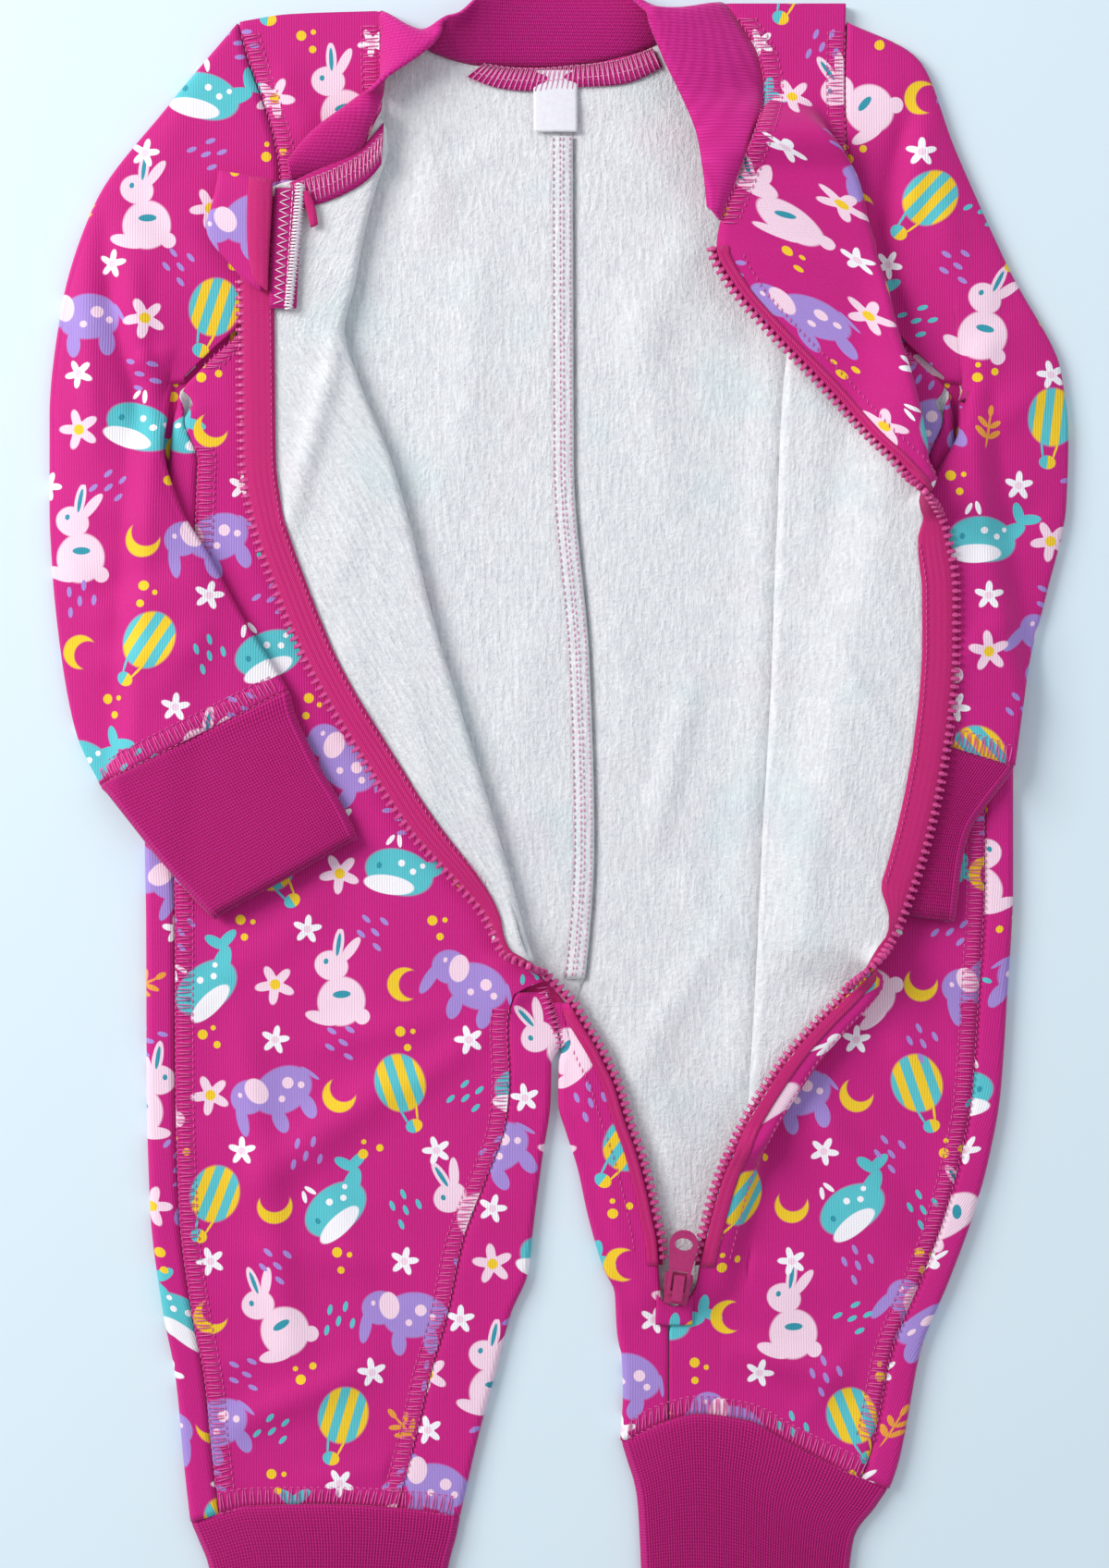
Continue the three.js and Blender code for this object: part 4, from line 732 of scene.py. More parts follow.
def sectionLengths(row, start):
    total = abs(row["edge"] - start)
    angle = row["turned"] * math.pi
    twoFolds = "doubled" in row
    ridgeLength = math.pi * ridgeRadius
    arcLength = math.pi * foldRadius
    first, middle, last = 0.0, openRun, tuckRun
    if row["turned"] == 1:
        first = abs(row["fold"] - start) - foldRadius
        back = abs(row["edge"] - row["fold"]) - foldRadius
        middle = back - ridgeLength - last if twoFolds else back
        if row.get("doubled") == 1:
            middle = abs(row["ridge"] - row["fold"]) - foldRadius - ridgeRadius
            last = abs(row["ridge"] - row["edge"]) - ridgeRadius
    else:
        arc = math.sin(angle) / angle if angle else 1
        folds = arcLength * arc + (ridgeLength * arc if twoFolds else 0)
        rest = total - folds - middle * math.cos(angle)
        first = rest - (last if twoFolds else 0) if row["fold"] is None else abs(row["fold"] - start)
        last = rest - first
    return dict(y=row["y"], first=first, middle=middle, last=last, turnOne=angle,
                turnTwo=-row.get("doubled", 0) * math.pi)


def seamIn(y):
    turn = sideTurn(y)
    return (foldRadius + wrapAt(y) + fabric["gap"]) * turn + 4 * armpitEase * turn * (1 - turn)


def frontStartRight(y):
    return line["armRight"](y) if y > armpitRow - 1 else line["outerRight"](y) + seamIn(y)


def frontStartLeft(y):
    return line["armLeft"](y) if y > armpitRow - 1 else line["outerLeft"](y) - seamIn(y)


sideRise = level["back"] + 2 * foldRadius - level["front"]
sleeveUnder = reader(table("y x", [
    (215, 150), (190, 142), (150, 138), (122, 132), (90, 125), (60, 119), (20, 113), (-20, 103),
    (-56, 101)]), "y")


def liftLeft(x, y):
    over = smooth((x - sleeveUnder(y) + 27) / 25)
    return 6.4 * over * smooth((y + 78) / 20) * (1 - smooth((y - 190) / 40))


def liftRight(x, y):
    return 2.4 * smooth((-y - 40) / 20) * (1 - smooth((-y - 79) / 12)) * smooth((x + 32) / 16)


frontFolds = dict(
    right=table("y fold edge turned", [
        (292, None, -66.2, 0), (276, None, -66.2, 0), (258, None, -65.5, 0), (246, -64.6, -70, 1),
        (241, -64.2, -72, 1), (232.4, -66.5, -85, 1), (230, -67.4, -92.6, 1), (225.5, -68.8, -108, 1),
        (221, -70, -113.5, 1), (209, -73, -115.6, 1), (190, -76.5, -117, 1), (172, -80.5, -116.8, 1),
        (151, -74.4, -116.6, 1), (122, -62.7, -116.2, 1), (99, -56, -112.4, 1), (72, -49.4, -103.2, 1),
        (52, -44, -95, 1), (36, -39, -86.8, 1), (8, -30.5, -69.8, 1), (-19, -22.4, -52, 1),
        (-36, -17.5, -36.5, 1), (-50, -13.8, -24.6, 1), (-58, -11.8, -20.5, 1), (-64, -9.6, -17.6, 1),
        (-74, None, -4, 0), (-79, None, -14.9, 0), (-92, None, -18, 0), (-113, None, -17.2, 0),
        (-128, None, -18.6, 0), (-152, None, -27, 0), (-174, None, -35.1, 0), (-202, None, -41, 0),
        (-224, None, -47.3, 0), (-240, None, -50.9, 0), (-255, None, -54.4, 0), (-277, None, -59.9, 0)]),
    left=table("y fold ridge edge turned doubled", [
        (296, 102, 0, 64.4, 0, 0), (289, 102, 0, 70, 0, 0), (276, 102, 0, 77.4, 0, 0),
        (264, 102, 0, 79.4, 0, 0),
        (230, 100.8, 113, 69.6, 1, 1), (209, 95.4, 118.6, 61.8, 1, 1), (202, 94.2, 120.6, 61, 1, 1),
        (190, 92.6, 123.8, 66.6, 1, 1), (172, 90.3, 128, 81.6, 1, 1), (151, 87.7, 134, 101.8, 1, 1),
        (139, 87, 136.9, 112.6, 1, 1), (130, 86.4, 138.8, 120.4, 1, 1), (118, 86, 141, 131.8, 1, 1),
        (99, 85.4, 0, 144, 1, 0), (92, 85, 0, 146, 1, 0), (72, 84.2, 0, 149, 1, 0), (52, 83.6, 0, 149, 1, 0),
        (36, 83, 0, 148.2, 1, 0), (8, 81.4, 0, 144.6, 1, 0), (-19, 79.8, 0, 139, 1, 0),
        (-36, 79, 0, 134, 1, 0),
        (-58, 78, 0, 125.4, 1, 0), (-79, 77, 121.5, 110.8, 1, 1), (-92, 76.2, 110, 98.4, 1, 1),
        (-104, 75.4, 99.6, 88, 1, 1), (-113, 74.9, 93.4, 81.8, 1, 1), (-128, 74, 84, 72.6, 1, 1),
        (-144, None, 0, 65.2, 0.4, 0.4), (-152, None, 0, 62.4, 0.32, 0.32), (-174, None, 0, 56.7, 0.22, 0.22),
        (-182, None, 0, 54.8, 0.17, 0.17), (-190, None, 0, 53.4, 0.12, 0.12), (-202, None, 0, 45.4, 0, 0),
        (-208, None, 0, 43.6, 0, 0), (-224, None, 0, 43.6, 0, 0), (-240, None, 0, 43.6, 0, 0),
        (-255, None, 0, 43.6, 0, 0)]),
)


def frontHalf(rows, startAt, facing, edges, liftAt, counts):
    read = reader([sectionLengths(row, startAt(row["y"])) for row in rows], "y")
    edgeAt = reader([dict(y=row["y"], x=row["edge"]) for row in rows], "y")
    turned = [row for row in rows if row["turned"] == 1]
    foldAt = reader([dict(y=row["y"], x=row["fold"]) for row in turned], "y")
    grid, flat = [], []
    for y in spaced(rows[0]["y"], rows[-1]["y"], fabric["step"]):
        start = startAt(y)
        first, middle = read(y, "first"), read(y, "middle")
        folded = turned[-1]["y"] <= y <= turned[0]["y"]
        if folded:
            first = abs(foldAt(y) - start) - foldRadius
        for _ in range(2):  # the second walk puts the zip edge where it belongs
            parts = [(first, 0, counts["first"]),
                     (math.pi * foldRadius, read(y, "turnOne"), stepCount["arc"]),
                     (middle, 0, counts["middle"])]
            if "last" in counts:
                parts.append((math.pi * ridgeRadius, read(y, "turnTwo"), stepCount["arc"]))
                parts.append((read(y, "last"), 0, counts["last"]))
            x, z, part, run = walk(start, level["front"], facing, parts)
            miss = facing * (edgeAt(y) - x[-1])
            first += 0 if folded else miss
            middle -= miss if folded else 0
        shifted = bend(x, y, edges)
        fromSeam = np.abs(x - start)
        side = sideRise * sideTurn(y) * (1 - smooth(fromSeam / 14))
        rise = (side + relief("body", x, shifted) * smooth(fromSeam / 12)) * (part == 0)
        lift = liftAt(x, y) * (part >= (2 if read(y, "turnOne") >= 3 else 0))
        toEdge = np.abs(x - x[-1])
        wave = np.maximum(0, relief("lapel", x, shifted)) * (part >= 2) * smooth(toEdge / 10)
        grid.append(np.stack([x, shifted, z + rise + lift + wave], axis=-1))
        flat.append(np.stack([start + facing * run, shifted], axis=-1))
    return Panel(grid, flat)


backRight = backHalf(-1, line["outerRight"], line["armRight"], line["innerRight"], hemRowRight,
                     ("backNeck", "hemRight"))
backLeft = backHalf(1, line["outerLeft"], line["armLeft"], line["innerLeft"], hemRowLeft,
                    ("backNeck", "hemLeft"))
frontRight = frontHalf(frontFolds["right"], frontStartRight, 1, ("shoulder", "hemRight"), liftRight,
                       dict(first=34, middle=22))
frontLeft = frontHalf(frontFolds["left"], frontStartLeft, -1, ("hemLeft",), liftLeft,
                      dict(first=26, middle=20, last=14))
clothSides = [finish["printed"], finish["fleece"], finish["printed"]]
for name, panel, node, cut, area, held, restsOn in (
        ("backRightCloth", backRight, "back_right", (0.19, 0.57), 0.085, "laid", "floor"),
        ("backLeftCloth", backLeft, "back_left", (0.19, 0.56), 0.079, "laid", "floor"),
        ("frontRightCloth", frontRight, "front_right", (0.16, 0.57), 0.066, "folded", "back_right"),
        ("frontLeftCloth", frontLeft, "front_left", (0.2, 0.56), 0.064, "folded", "back_left")):
    piece = shell(name, panel, fabric["thickness"], clothSides)
    dress(piece, [node], cut, area, held, [restsOn])
print("body panels made")

# inner leg panels
inseamAt = reader([dict(y=p[1], x=p[0] + fabric["gap"]) for p in frontRight.points[:, -1] if p[1] < -70], "y")
innerZip = reader(table("y x", [
    (-83, 5.6), (-89, 9), (-97, 13.9), (-101, 16.2), (-106, 18.6), (-113, 22), (-128, 26.6), (-139, 30.6),
    (-152, 34.2), (-164, 36.8), (-174, 38.8), (-182, 39.4), (-186, 39.6), (-202, 42.2), (-208, 43.2),
    (-255, 43.2)]), "y")


def shortSeam(y):
    return mix(-4.2, 2.2, (-74 - y) / 24.7)


def innerLeg(top, bottom, startAt, endAt, inner, facing, edges, liftAt):
    grid, flat = [], []
    arc = math.pi * innerRadius
    for y in spaced(top, bottom, 2.2):
        start = startAt(y)
        turn = smooth((legStart - y) / 9)
        length = mix(abs(endAt(y) - start) - arc, abs(inner(y) - start) - innerRadius, turn)
        parts = [(length, 0, stepCount["innerLeg"]), (arc, -turn * math.pi, stepCount["innerArc"])]
        x, z, part, run = walk(start, level["front"], facing, parts)
        shifted = bend(x, y, edges)
        grid.append(np.stack([x, shifted, z + liftAt(x, y) * (part == 0)], axis=-1))
        flat.append(np.stack([start + facing * run + 40, shifted - 20], axis=-1))
    return Panel(grid, flat)


def innerLiftLeft(x, y):
    reach = min(9, innerZip(y) - line["innerLeft"](y) - 2)
    return 2.4 * smooth((x - line["innerLeft"](y) - innerRadius) / reach) * (1 - smooth((-y - 190) / 16))


innerRightPanel = innerLeg(-79, hemRowRight, inseamAt, shortSeam, line["innerRight"], 1, ("hemRight",),
                           lambda x, y: liftRight(x, y) * smooth((inseamAt(y) + 8 - x) / 8))
innerLeftPanel = innerLeg(-83, hemRowLeft, innerZip, lambda y: shortSeam(y) + 0.7, line["innerLeft"], -1,
                          ("hemLeft",), innerLiftLeft)
dress(shell("innerLegRightCloth", innerRightPanel, fabric["thickness"], clothSides), ["inner_leg_right"],
      (0.035, 0.2), 0.005, "laid", ["back_right"])
dress(shell("innerLegLeftCloth", innerLeftPanel, fabric["thickness"], clothSides), ["inner_leg_left"],
      (0.035, 0.175), 0.004, "laid", ["back_left"])


# sleeves and cuffs: flattened tubes laid ring by ring between an outer and an inner edge
underShift = (230, 60)  # where the print falls on a sleeve's underside


def tubePanel(rows, perRow, shares, lineOf, lowerAt, radius, upperWave=None, onPlan=False):
    index = reader([dict(row, k=k) for k, row in enumerate(rows)], "k")
    places = np.linspace(0, len(rows) - 1, (len(rows) - 1) * perRow + 1)
    fine = [{name: float(index(k, name)) for name in rows[0]} for k in places]
    lines = np.array([lineOf(row, shares) for row in fine])
    grid, flat, ideal, plans = [], [], [], []
    for r, row in enumerate(fine):
        before, after = lines[max(0, r - 1)], lines[min(len(fine) - 1, r + 1)]

        def outward(end, side):
            across = unit(lines[r][-1] - lines[r][0]) * side
            run = unit(after[end] - before[end])
            square = np.array([-run[1], run[0]])
            square = -square if np.dot(square, across) < 0 else square
            return unit(mix(across, square, smooth(r / perRow)))
        outer, inner = outward(0, -1), outward(-1, 1)
        away = np.maximum(0, 1 - 2 * shares)[:, None] * outer + np.maximum(0, 2 * shares - 1)[:, None] * inner
        plan = lines[r] - radius * away
        low = lowerAt(plan[:, 0], plan[:, 1], row)
        lower = np.column_stack([plan, low])
        upper = lower.copy()
        upper[:, 2] += 2 * radius + row["puff"] * np.sin(math.pi * shares) ** 0.7
        if upperWave:
            upper[:, 2] += upperWave(upper[:, 0], upper[:, 1]) * np.sin(math.pi * shares) ** 0.5
        turns = np.linspace(math.pi / 2, -math.pi / 2, 9)[1:-1]

        def arc(p, direction, angles):
            return np.array([[*(p[:2] + direction * radius * math.cos(a)), p[2] + radius * (1 + math.sin(a))]
                             for a in angles])
        ring = np.concatenate([upper, arc(lower[-1], inner, turns), lower[::-1],
                               arc(lower[0], outer, turns[::-1])])
        grid.append(ring)
        flat.append(runAlong(ring[:, :2]))
        ideal.append(np.concatenate([
            np.tile([0, 0, 1], (len(upper), 1)), [[*(inner * math.cos(a)), math.sin(a)] for a in turns],
            np.tile([0, 0, -1], (len(lower), 1)),
            [[*(outer * math.cos(a)), math.sin(a)] for a in turns[::-1]]]))
        wrapped = radius * (math.pi / 2 - turns)[:, None]
        plans.append(np.concatenate([upper[:, :2], upper[-1, :2] + inner * wrapped,
                                     lower[::-1, :2] + underShift, upper[0, :2] + outer * wrapped[::-1]]))
    flat = np.array(flat)
    centre = lines[:, len(shares) // 2]
    down = runAlong(centre)
    scale = np.mean(flat[:, -1]) / flat[:, -1]
    cut = np.stack([flat * scale[:, None], np.repeat(-down[:, None], flat.shape[1], axis=1)], axis=-1)
    panel = Panel(grid, np.array(plans) if onPlan else cut, closed=True)
    panel.wraps = not onPlan
    ideal = np.array(ideal)
    agrees = np.sum(panel.normals * ideal, axis=-1, keepdims=True) > 0.35
    panel.normals = np.where(agrees, panel.normals, ideal)
    return panel


def restOn(startAt, outerAt, facing):
    def rest(x, y):
        x, y = np.broadcast_arrays(np.asarray(x, float), np.asarray(y, float))
        start = np.array([startAt(v) for v in y.ravel()]).reshape(y.shape)
        outerX = outerAt(y)
        over = smooth((facing * (x - outerX) + 18) / 13) * smooth((armpitRow + 4 - y) / 8)
        fromSeam = np.maximum(0, facing * (x - start))
        top = level["front"] + fabric["thickness"] / 2 + sideRise * (1 - smooth(fromSeam / 14))
        return over * (top + relief("body", x, y) * smooth(fromSeam / 12) + fabric["gap"])
    return rest


restRight = restOn(frontStartRight, line["outerRight"], 1)
restLeft = restOn(frontStartLeft, line["outerLeft"], -1)
sleeves = dict(
    right=table("outX outY inX inY bow onBody puff", [
        (-121, 288.4, -141.2, 153.4, 1, 0, 0), (-147, 256.4, -146, 152.6, 0.3, 0, 2.4),
        (-174, 220, -146.6, 149.4, 0.1, 0, 3.8), (-186.6, 180, -147.6, 141, 0, 0.2, 4.2),
        (-191, 140, -148.8, 127, 0, 1, 4.2), (-191, 106, -142.5, 105, 0, 1, 4),
        (-190, 82, -131.5, 86, 0, 1, 3.8),
        (-187, 52, -119, 63, 0, 1, 3.6), (-181, 20, -107, 44, 0, 1, 3),
        (-171.8, -0.2, -101.7, 35.4, 0, 1, 2.4)]),
    left=table("outX outY inX inY bow onBody puff", [
        (112.4, 288.6, 148.8, 153.4, 1, 0, 0), (138, 275, 152.8, 153, 0.45, 0, 1.6),
        (152, 240, 157.2, 149.6, 0.15, 0, 2.2), (172, 195, 154.6, 144.5, 0, 0.4, 2.2),
        (191.5, 157, 153.6, 133, 0, 1, 2.2), (194.4, 132, 145, 117, 0, 1, 2.2),
        (193.6, 106, 136, 102, 0, 1, 2),
        (186, 72, 124, 72, 0, 1, 2), (178, 40, 117, 48, 0, 1, 2), (173.2, 7, 110.6, 26, 0, 1, 1.6)]),
    wristRight=table("outX outY inX inY puff", [
        (-171.4, -0.2, -101.4, 35.4, 1.8), (-168.6, -2.4, -99.6, 27, 1.6), (-160, -13, -94.8, 16, 1.5),
        (-151, -24.4, -89.6, 5.3, 1.4), (-139.5, -38, -82, -7.4, 1.4), (-127.6, -50.8, -75.3, -21, 1.4)]),
    wristLeft=table("outX outY inX inY puff", [
        (173, 6.9, 110.4, 25.9, 1.2), (167, -1, 106, 14, 1), (161, -9, 103.6, 2, 1),
        (156, -17, 102.4, -11, 1),
        (152.6, -31, 101, -28, 1), (150.4, -52, 100, -45.6, 1)]),
    ankleRight=table("share outX inX drop puff", [
        (0, -137.4, -37, -0.8, 1.4), (0.12, -133.8, -38.6, 7.5, 1.8), (0.35, -129.6, -41.8, 20, 1.8),
        (1, -127.4, -45.6, 57.5, 1.4)]),
    ankleLeft=table("share outX inX drop puff", [
        (0, 126.2, 26.4, -0.8, 1.4), (0.12, 120.6, 29, 7.5, 1.8), (0.35, 112.6, 32.6, 20, 1.8),
        (1, 108.8, 35, 57.5, 1.4)]),
)


def sleevePanel(rows, armAt, restAt, side, kind):
    def lineOf(row, shares):
        straight = mix(rows[0]["outX"], rows[0]["inX"], shares)
        bulge = armAt(mix(289, armpitRow, shares)) - side * 0.25 - straight
        x = mix(row["outX"], row["inX"], shares) + row["bow"] * bulge
        return np.stack([x, mix(row["outY"], row["inY"], shares)], axis=-1)
    return tubePanel(rows, stepCount["sleeveRings"], np.linspace(0, 1, stepCount["sleeve"]), lineOf,
                     lambda x, y, row: level["back"] + row["onBody"] * restAt(x, y), innerRadius,
                     upperWave=lambda x, y: relief(kind, x, y), onPlan=True)


def straightLine(row, shares):
    return np.stack([mix(row["outX"], row["inX"], shares), mix(row["outY"], row["inY"], shares)], axis=-1)


ribbing = dict(pitch=1.25, height=0.34, perRib=4, wall=0.86, collarRibs=400, collarHeight=0.26,
               collarWall=0.9)


def ribShares(width):
    return np.linspace(0, 1, int(round(width / ribbing["pitch"])) * ribbing["perRib"] + 1)


def ribHeights(panel):  # one rounded rib each pitch round the tube
    columns = panel.points.shape[1]
    phase = np.cos(2 * math.pi * np.arange(columns) / ribbing["perRib"])
    return np.tile(ribbing["height"] * phase, (len(panel.points), 1))


def wristPanel(rows, restAt, side):
    return tubePanel(rows, stepCount["cuffRings"], ribShares(76), straightLine,
                     lambda x, y, row: fabric["rib"] / 2 + restAt(x + side * 5.0, y) * 1.06, 1.65)


def hemLine(panels):
    ends = [panel.points[-1] for panel in panels]

    def read(x):
        found = np.full(np.shape(x), np.inf)
        for points in ends:
            for a, b in zip(points[:-1], points[1:]):
                if abs(b[0] - a[0]) < 1e-6:
                    continue
                share = (x - a[0]) / (b[0] - a[0])
                y = mix(a[1], b[1], share)
                found = np.where((share >= -0.02) & (share <= 1.02), np.minimum(found, y), found)
        known = np.isfinite(found)
        way = 1 if x[0] < x[-1] else -1
        return np.interp(way * x, way * x[known], found[known])
    return read


def anklePanel(rows, hemAt):
    first = rows[0]
    shares = ribShares(abs(first["inX"] - first["outX"]))
    hemY = hemAt(mix(first["outX"], first["inX"], shares))

    def lineOf(row, shares):
        straight = mix(mix(hemY[0], hemY[-1], shares), (hemY[0] + hemY[-1]) / 2, row["share"])
        y = mix(hemY, straight, row["share"]) - row["drop"]
        return np.stack([mix(row["outX"], row["inX"], shares), y], axis=-1)
    return tubePanel(rows, stepCount["ankleRings"], shares, lineOf,
                     lambda x, y, row: np.full_like(x, fabric["rib"] / 2), innerRadius)


sleeveRightPanel = sleevePanel(sleeves["right"], line["armRight"], restRight, 1, "sleeveRight")
sleeveLeftPanel = sleevePanel(sleeves["left"], line["armLeft"], restLeft, -1, "sleeveLeft")
dress(shell("sleeveRightCloth", sleeveRightPanel, fabric["thickness"], clothSides), ["sleeve_right"],
      (0.2, 0.25), 0.032, "laid", ["floor", "front_right"])
dress(shell("sleeveLeftCloth", sleeveLeftPanel, fabric["thickness"], clothSides), ["sleeve_left"],
      (0.2, 0.25), 0.029, "laid", ["floor", "front_left"])
ribSides = [finish["rib"], finish["rib"], finish["rib"]]
wristRight = wristPanel(sleeves["wristRight"], restRight, 1)
wristLeft = wristPanel(sleeves["wristLeft"], restLeft, -1)
ankleRight = anklePanel(sleeves["ankleRight"], hemLine([backRight, frontRight, innerRightPanel]))
ankleLeft = anklePanel(sleeves["ankleLeft"], hemLine([backLeft, frontLeft, innerLeftPanel]))
for name, panel, node, cut in (
        ("wristRightRib", wristRight, "wrist_cuff_right", (0.155, 0.06)),
        ("wristLeftRib", wristLeft, "wrist_cuff_left", (0.145, 0.06)),
        ("ankleRightRib", ankleRight, "ankle_cuff_right", (0.18, 0.06)),
        ("ankleLeftRib", ankleLeft, "ankle_cuff_left", (0.175, 0.06))):
    piece = shell(name, panel, fabric["rib"] * ribbing["wall"], ribSides, rib=ribHeights(panel),
                  roundRows=True)
    dress(piece, [node], cut, None, "laid", ["floor"])
print("sleeves and cuffs made")

# collar
collarRows = table("on place rise freeX freeY freeZ", [
    ("right", 228, 0, -100.6, 235.2, 10.4), ("right", 230, 0, -97.3, 239.8, 11),
    ("right", 234, 0.6, -90.3, 246.8, 13), ("right", 240, 2.2, -80, 254, 14.5),
    ("right", 246, 4, -69, 261.5, 15.5), ("right", 252, 4.6, -62, 266.5, 15.5),
    ("right", 262, 1.4, -54.6, 271.3, 15), ("right", 275, 0, -47, 277, 15), ("right", 284, 0, -43, 282, 15),
    ("right", 293, 0, -41.5, 287.5, 15.2),
    ("back", -58, 0, -35.5, 290, 15), ("back", -46, 0, -28, 297, 13), ("back", -30, 0, -18, 301, 10),
    ("back", -14, 0, -9, 302.5, 8.5), ("back", 2, 0, 2, 303, 8), ("back", 16, 0, 12, 302.5, 8.5),
    ("back", 28, 0, 21, 301, 10), ("back", 40, 0, 28, 297.5, 13), ("back", 51, 0, 33, 292, 15),
    ("left", 296, 0, 34, 291, 15.5), ("left", 290, 0, 35.7, 285.5, 15.5), ("left", 284, 0, 38.5, 278.5, 15),
    ("left", 276, 0, 41.5, 271.5, 14.5),
    ("left", 264, 0, 45.5, 263.5, 14), ("left", 252, 0, 49.5, 255, 14), ("left", 238, 0, 53.5, 244, 14.5),
    ("left", 224, 0, 56, 229.5, 14.5), ("left", 212, 0, 57.5, 217, 14)])


def edgePoint(panel, y):
    points = panel.points[:, -1]
    order = np.argsort(points[:, 1])
    return np.array([np.interp(y, points[order, 1], points[order, k]) for k in range(3)])


def neckPoint(on, place):
    if on == "back":
        return np.array([place, line["backNeck"](place, "y"), fabric["rib"] / 2])
    return edgePoint(frontRight if on == "right" else frontLeft, place)


def collarPanel():
    starts, frees = [], []
    for row in collarRows:
        free = np.array([row["freeX"], row["freeY"], row["freeZ"]])
        seam = neckPoint(row["on"], row["place"])
        start = seam + unit(free - seam) * 0.3
        start[2] += row["rise"]
        starts.append(start)
        frees.append(free)
    count = ribbing["collarRibs"] * ribbing["perRib"] + 1
    starts, frees = through(starts, count), through(frees, count)
    shares = np.linspace(0, 1, 11)
    grid = starts[:, None] * (1 - shares[None, :, None]) + frees[:, None] * shares[None, :, None]
    grid[..., 2] += 1.6 * np.sin(math.pi * shares)
    along = runAlong(grid[:, 5])
    flat = np.stack([np.repeat(along[:, None], len(shares), axis=1), grid[..., 1]], axis=-1)
    return Panel(grid, flat)


collar = collarPanel()
phase = np.cos(2 * math.pi * np.arange(len(collar.points)) / ribbing["perRib"])
collarHeights = np.tile((ribbing["collarHeight"] * phase)[:, None], (1, collar.points.shape[1]))
# the collar takes the lighter rib finish, which carries painted light
piece = shell("collarRib", collar, fabric["rib"] * ribbing["collarWall"], [finish["collar"]] * 3,
              rib=collarHeights, roundRows=True)
dress(piece, ["collar"], (0.4, 0.033), 0.0085, "laid",
      ["back_right", "back_left", "front_right", "front_left"])
print("collar made")


# zip: woven tape on the fleece side of each zip edge and single moulded teeth beyond the edge
zipSizes = dict(flatWidth=12.6, tape=0.8, beyond=1.6, columns=7, underEdge=0.9, underCloth=1.85,
                toothOut=2.05, toothDown=0.5, toothPitch=3.0, sharpAngle=38)
zipEnds = dict(topRight=222, topLeft=203, bottom=-183, teethRight=191)
tapeWidths = dict(
    right=reader(table("y width", [
        (222, 11), (-19, 11), (-38, 8), (-50, 4.2), (-60, 1.7), (-84, 1.7), (-100, 2.4), (-113, 4),
        (-139, 11), (-183, 11)]), "y"),
    left=reader(table("y width", [
        (203, 11), (158, 11), (150, 6), (134, 6), (128, 7), (118, 4.2), (103, 4.2), (92, 9.5), (80, 11),
        (-36, 11), (-50, 3.4), (-57, 1.2), (-78, 1.2), (-85, 4), (-92, 6.4), (-128, 6.4), (-144, 8),
        (-160, 11)]), "y"))
toothForm = table("out along up", [
    (-1.7, 0.75, 1.25), (-1.2, 0.95, 1.35), (0.3, 0.95, 1.35), (0.75, 0.55, 1.0), (1.2, 0.72, 1.05),
    (1.75, 0.5, 0.7)])
toothCorners = [(1, 0.55), (0.55, 1), (-0.55, 1), (-1, 0.55), (-1, -0.55), (-0.55, -1), (0.55, -1),
                (1, -0.55)]


def zipHalf(runs, widths, teethTop):
    places, teethPath = [], []
    shares = np.linspace(0, 1, zipSizes["columns"])
    beyond = zipSizes["beyond"]
    for panel, end, top, bottom in runs:
        for row in panel.rowsBetween(end, top, bottom):
            points, normals, run = panel.rowFrom(row, end)
            point, normal, out = points[0], normals[0], unit(points[0] - points[1])
            width = float(widths(point[1], "width"))
            across = []
            for share in shares:
                distance = share * (width + beyond) - beyond
                place, up = point - out * distance, normal
                if distance > 0:
                    place, up = atRun(distance, run, points), unit(atRun(distance, run, normals))
                under = mix(zipSizes["underEdge"], zipSizes["underCloth"], smooth((distance + beyond) / 3.0))
                across.append(place - up * under)
            places.append(across)
            if point[1] <= teethTop:
                tooth = point + out * zipSizes["toothOut"] - normal * zipSizes["toothDown"]
                teethPath.append((tooth, out, normal))
    grid = np.array(places)
    flat = np.stack([np.repeat(shares[None, :] * zipSizes["flatWidth"], len(grid), axis=0),
                     np.repeat(-runAlong(grid[:, 0])[:, None], len(shares), axis=1)], axis=-1)
    return Panel(grid, flat), teethPath


def addTube(faces, base, rings, sides):  # the faces of a closed tube whose rings of points start at base
    for ring in range(rings - 1):
        for k in range(sides):
            a, b = base + ring * sides + k, base + ring * sides + (k + 1) % sides
            faces.append((a, b, b + sides, a + sides))
    faces.append(tuple(base + k for k in range(sides))[::-1])
    faces.append(tuple(base + (rings - 1) * sides + k for k in range(sides)))


def teethMesh(name, path):
    centres, outs, ups = (np.array([place[k] for place in path]) for k in range(3))
    run = runAlong(centres)
    verts, faces = [], []
    for place in np.arange(1.0, run[-1] - 1, zipSizes["toothPitch"]):
        centre = atRun(place, run, centres)
        along = unit(atRun(place + 1, run, centres) - centre)
        out = atRun(place, run, outs)
        out = unit(out - along * np.dot(out, along))
        up = atRun(place, run, ups)
        up = unit(up - along * np.dot(up, along) - out * np.dot(up, out))
        addTube(faces, len(verts), len(toothForm), len(toothCorners))
        for ring in toothForm:
            for a, u in toothCorners:
                verts.append(centre + out * ring["out"] + along * a * ring["along"] + up * u * ring["up"])
    piece = makeMesh(name, np.array(verts), faces, [finish["teeth"]])
    piece.data.set_sharp_from_angle(angle=math.radians(zipSizes["sharpAngle"]))
    return piece


def sew(name, panel, thickness, cloth, cut, restsOn, nodes=(), area=None, held="laid", roundRows=False):
    piece = shell(name, panel, thickness, [finish[cloth]] * 3, roundRows=roundRows)
    return dress(piece, nodes, cut, area, held, restsOn)


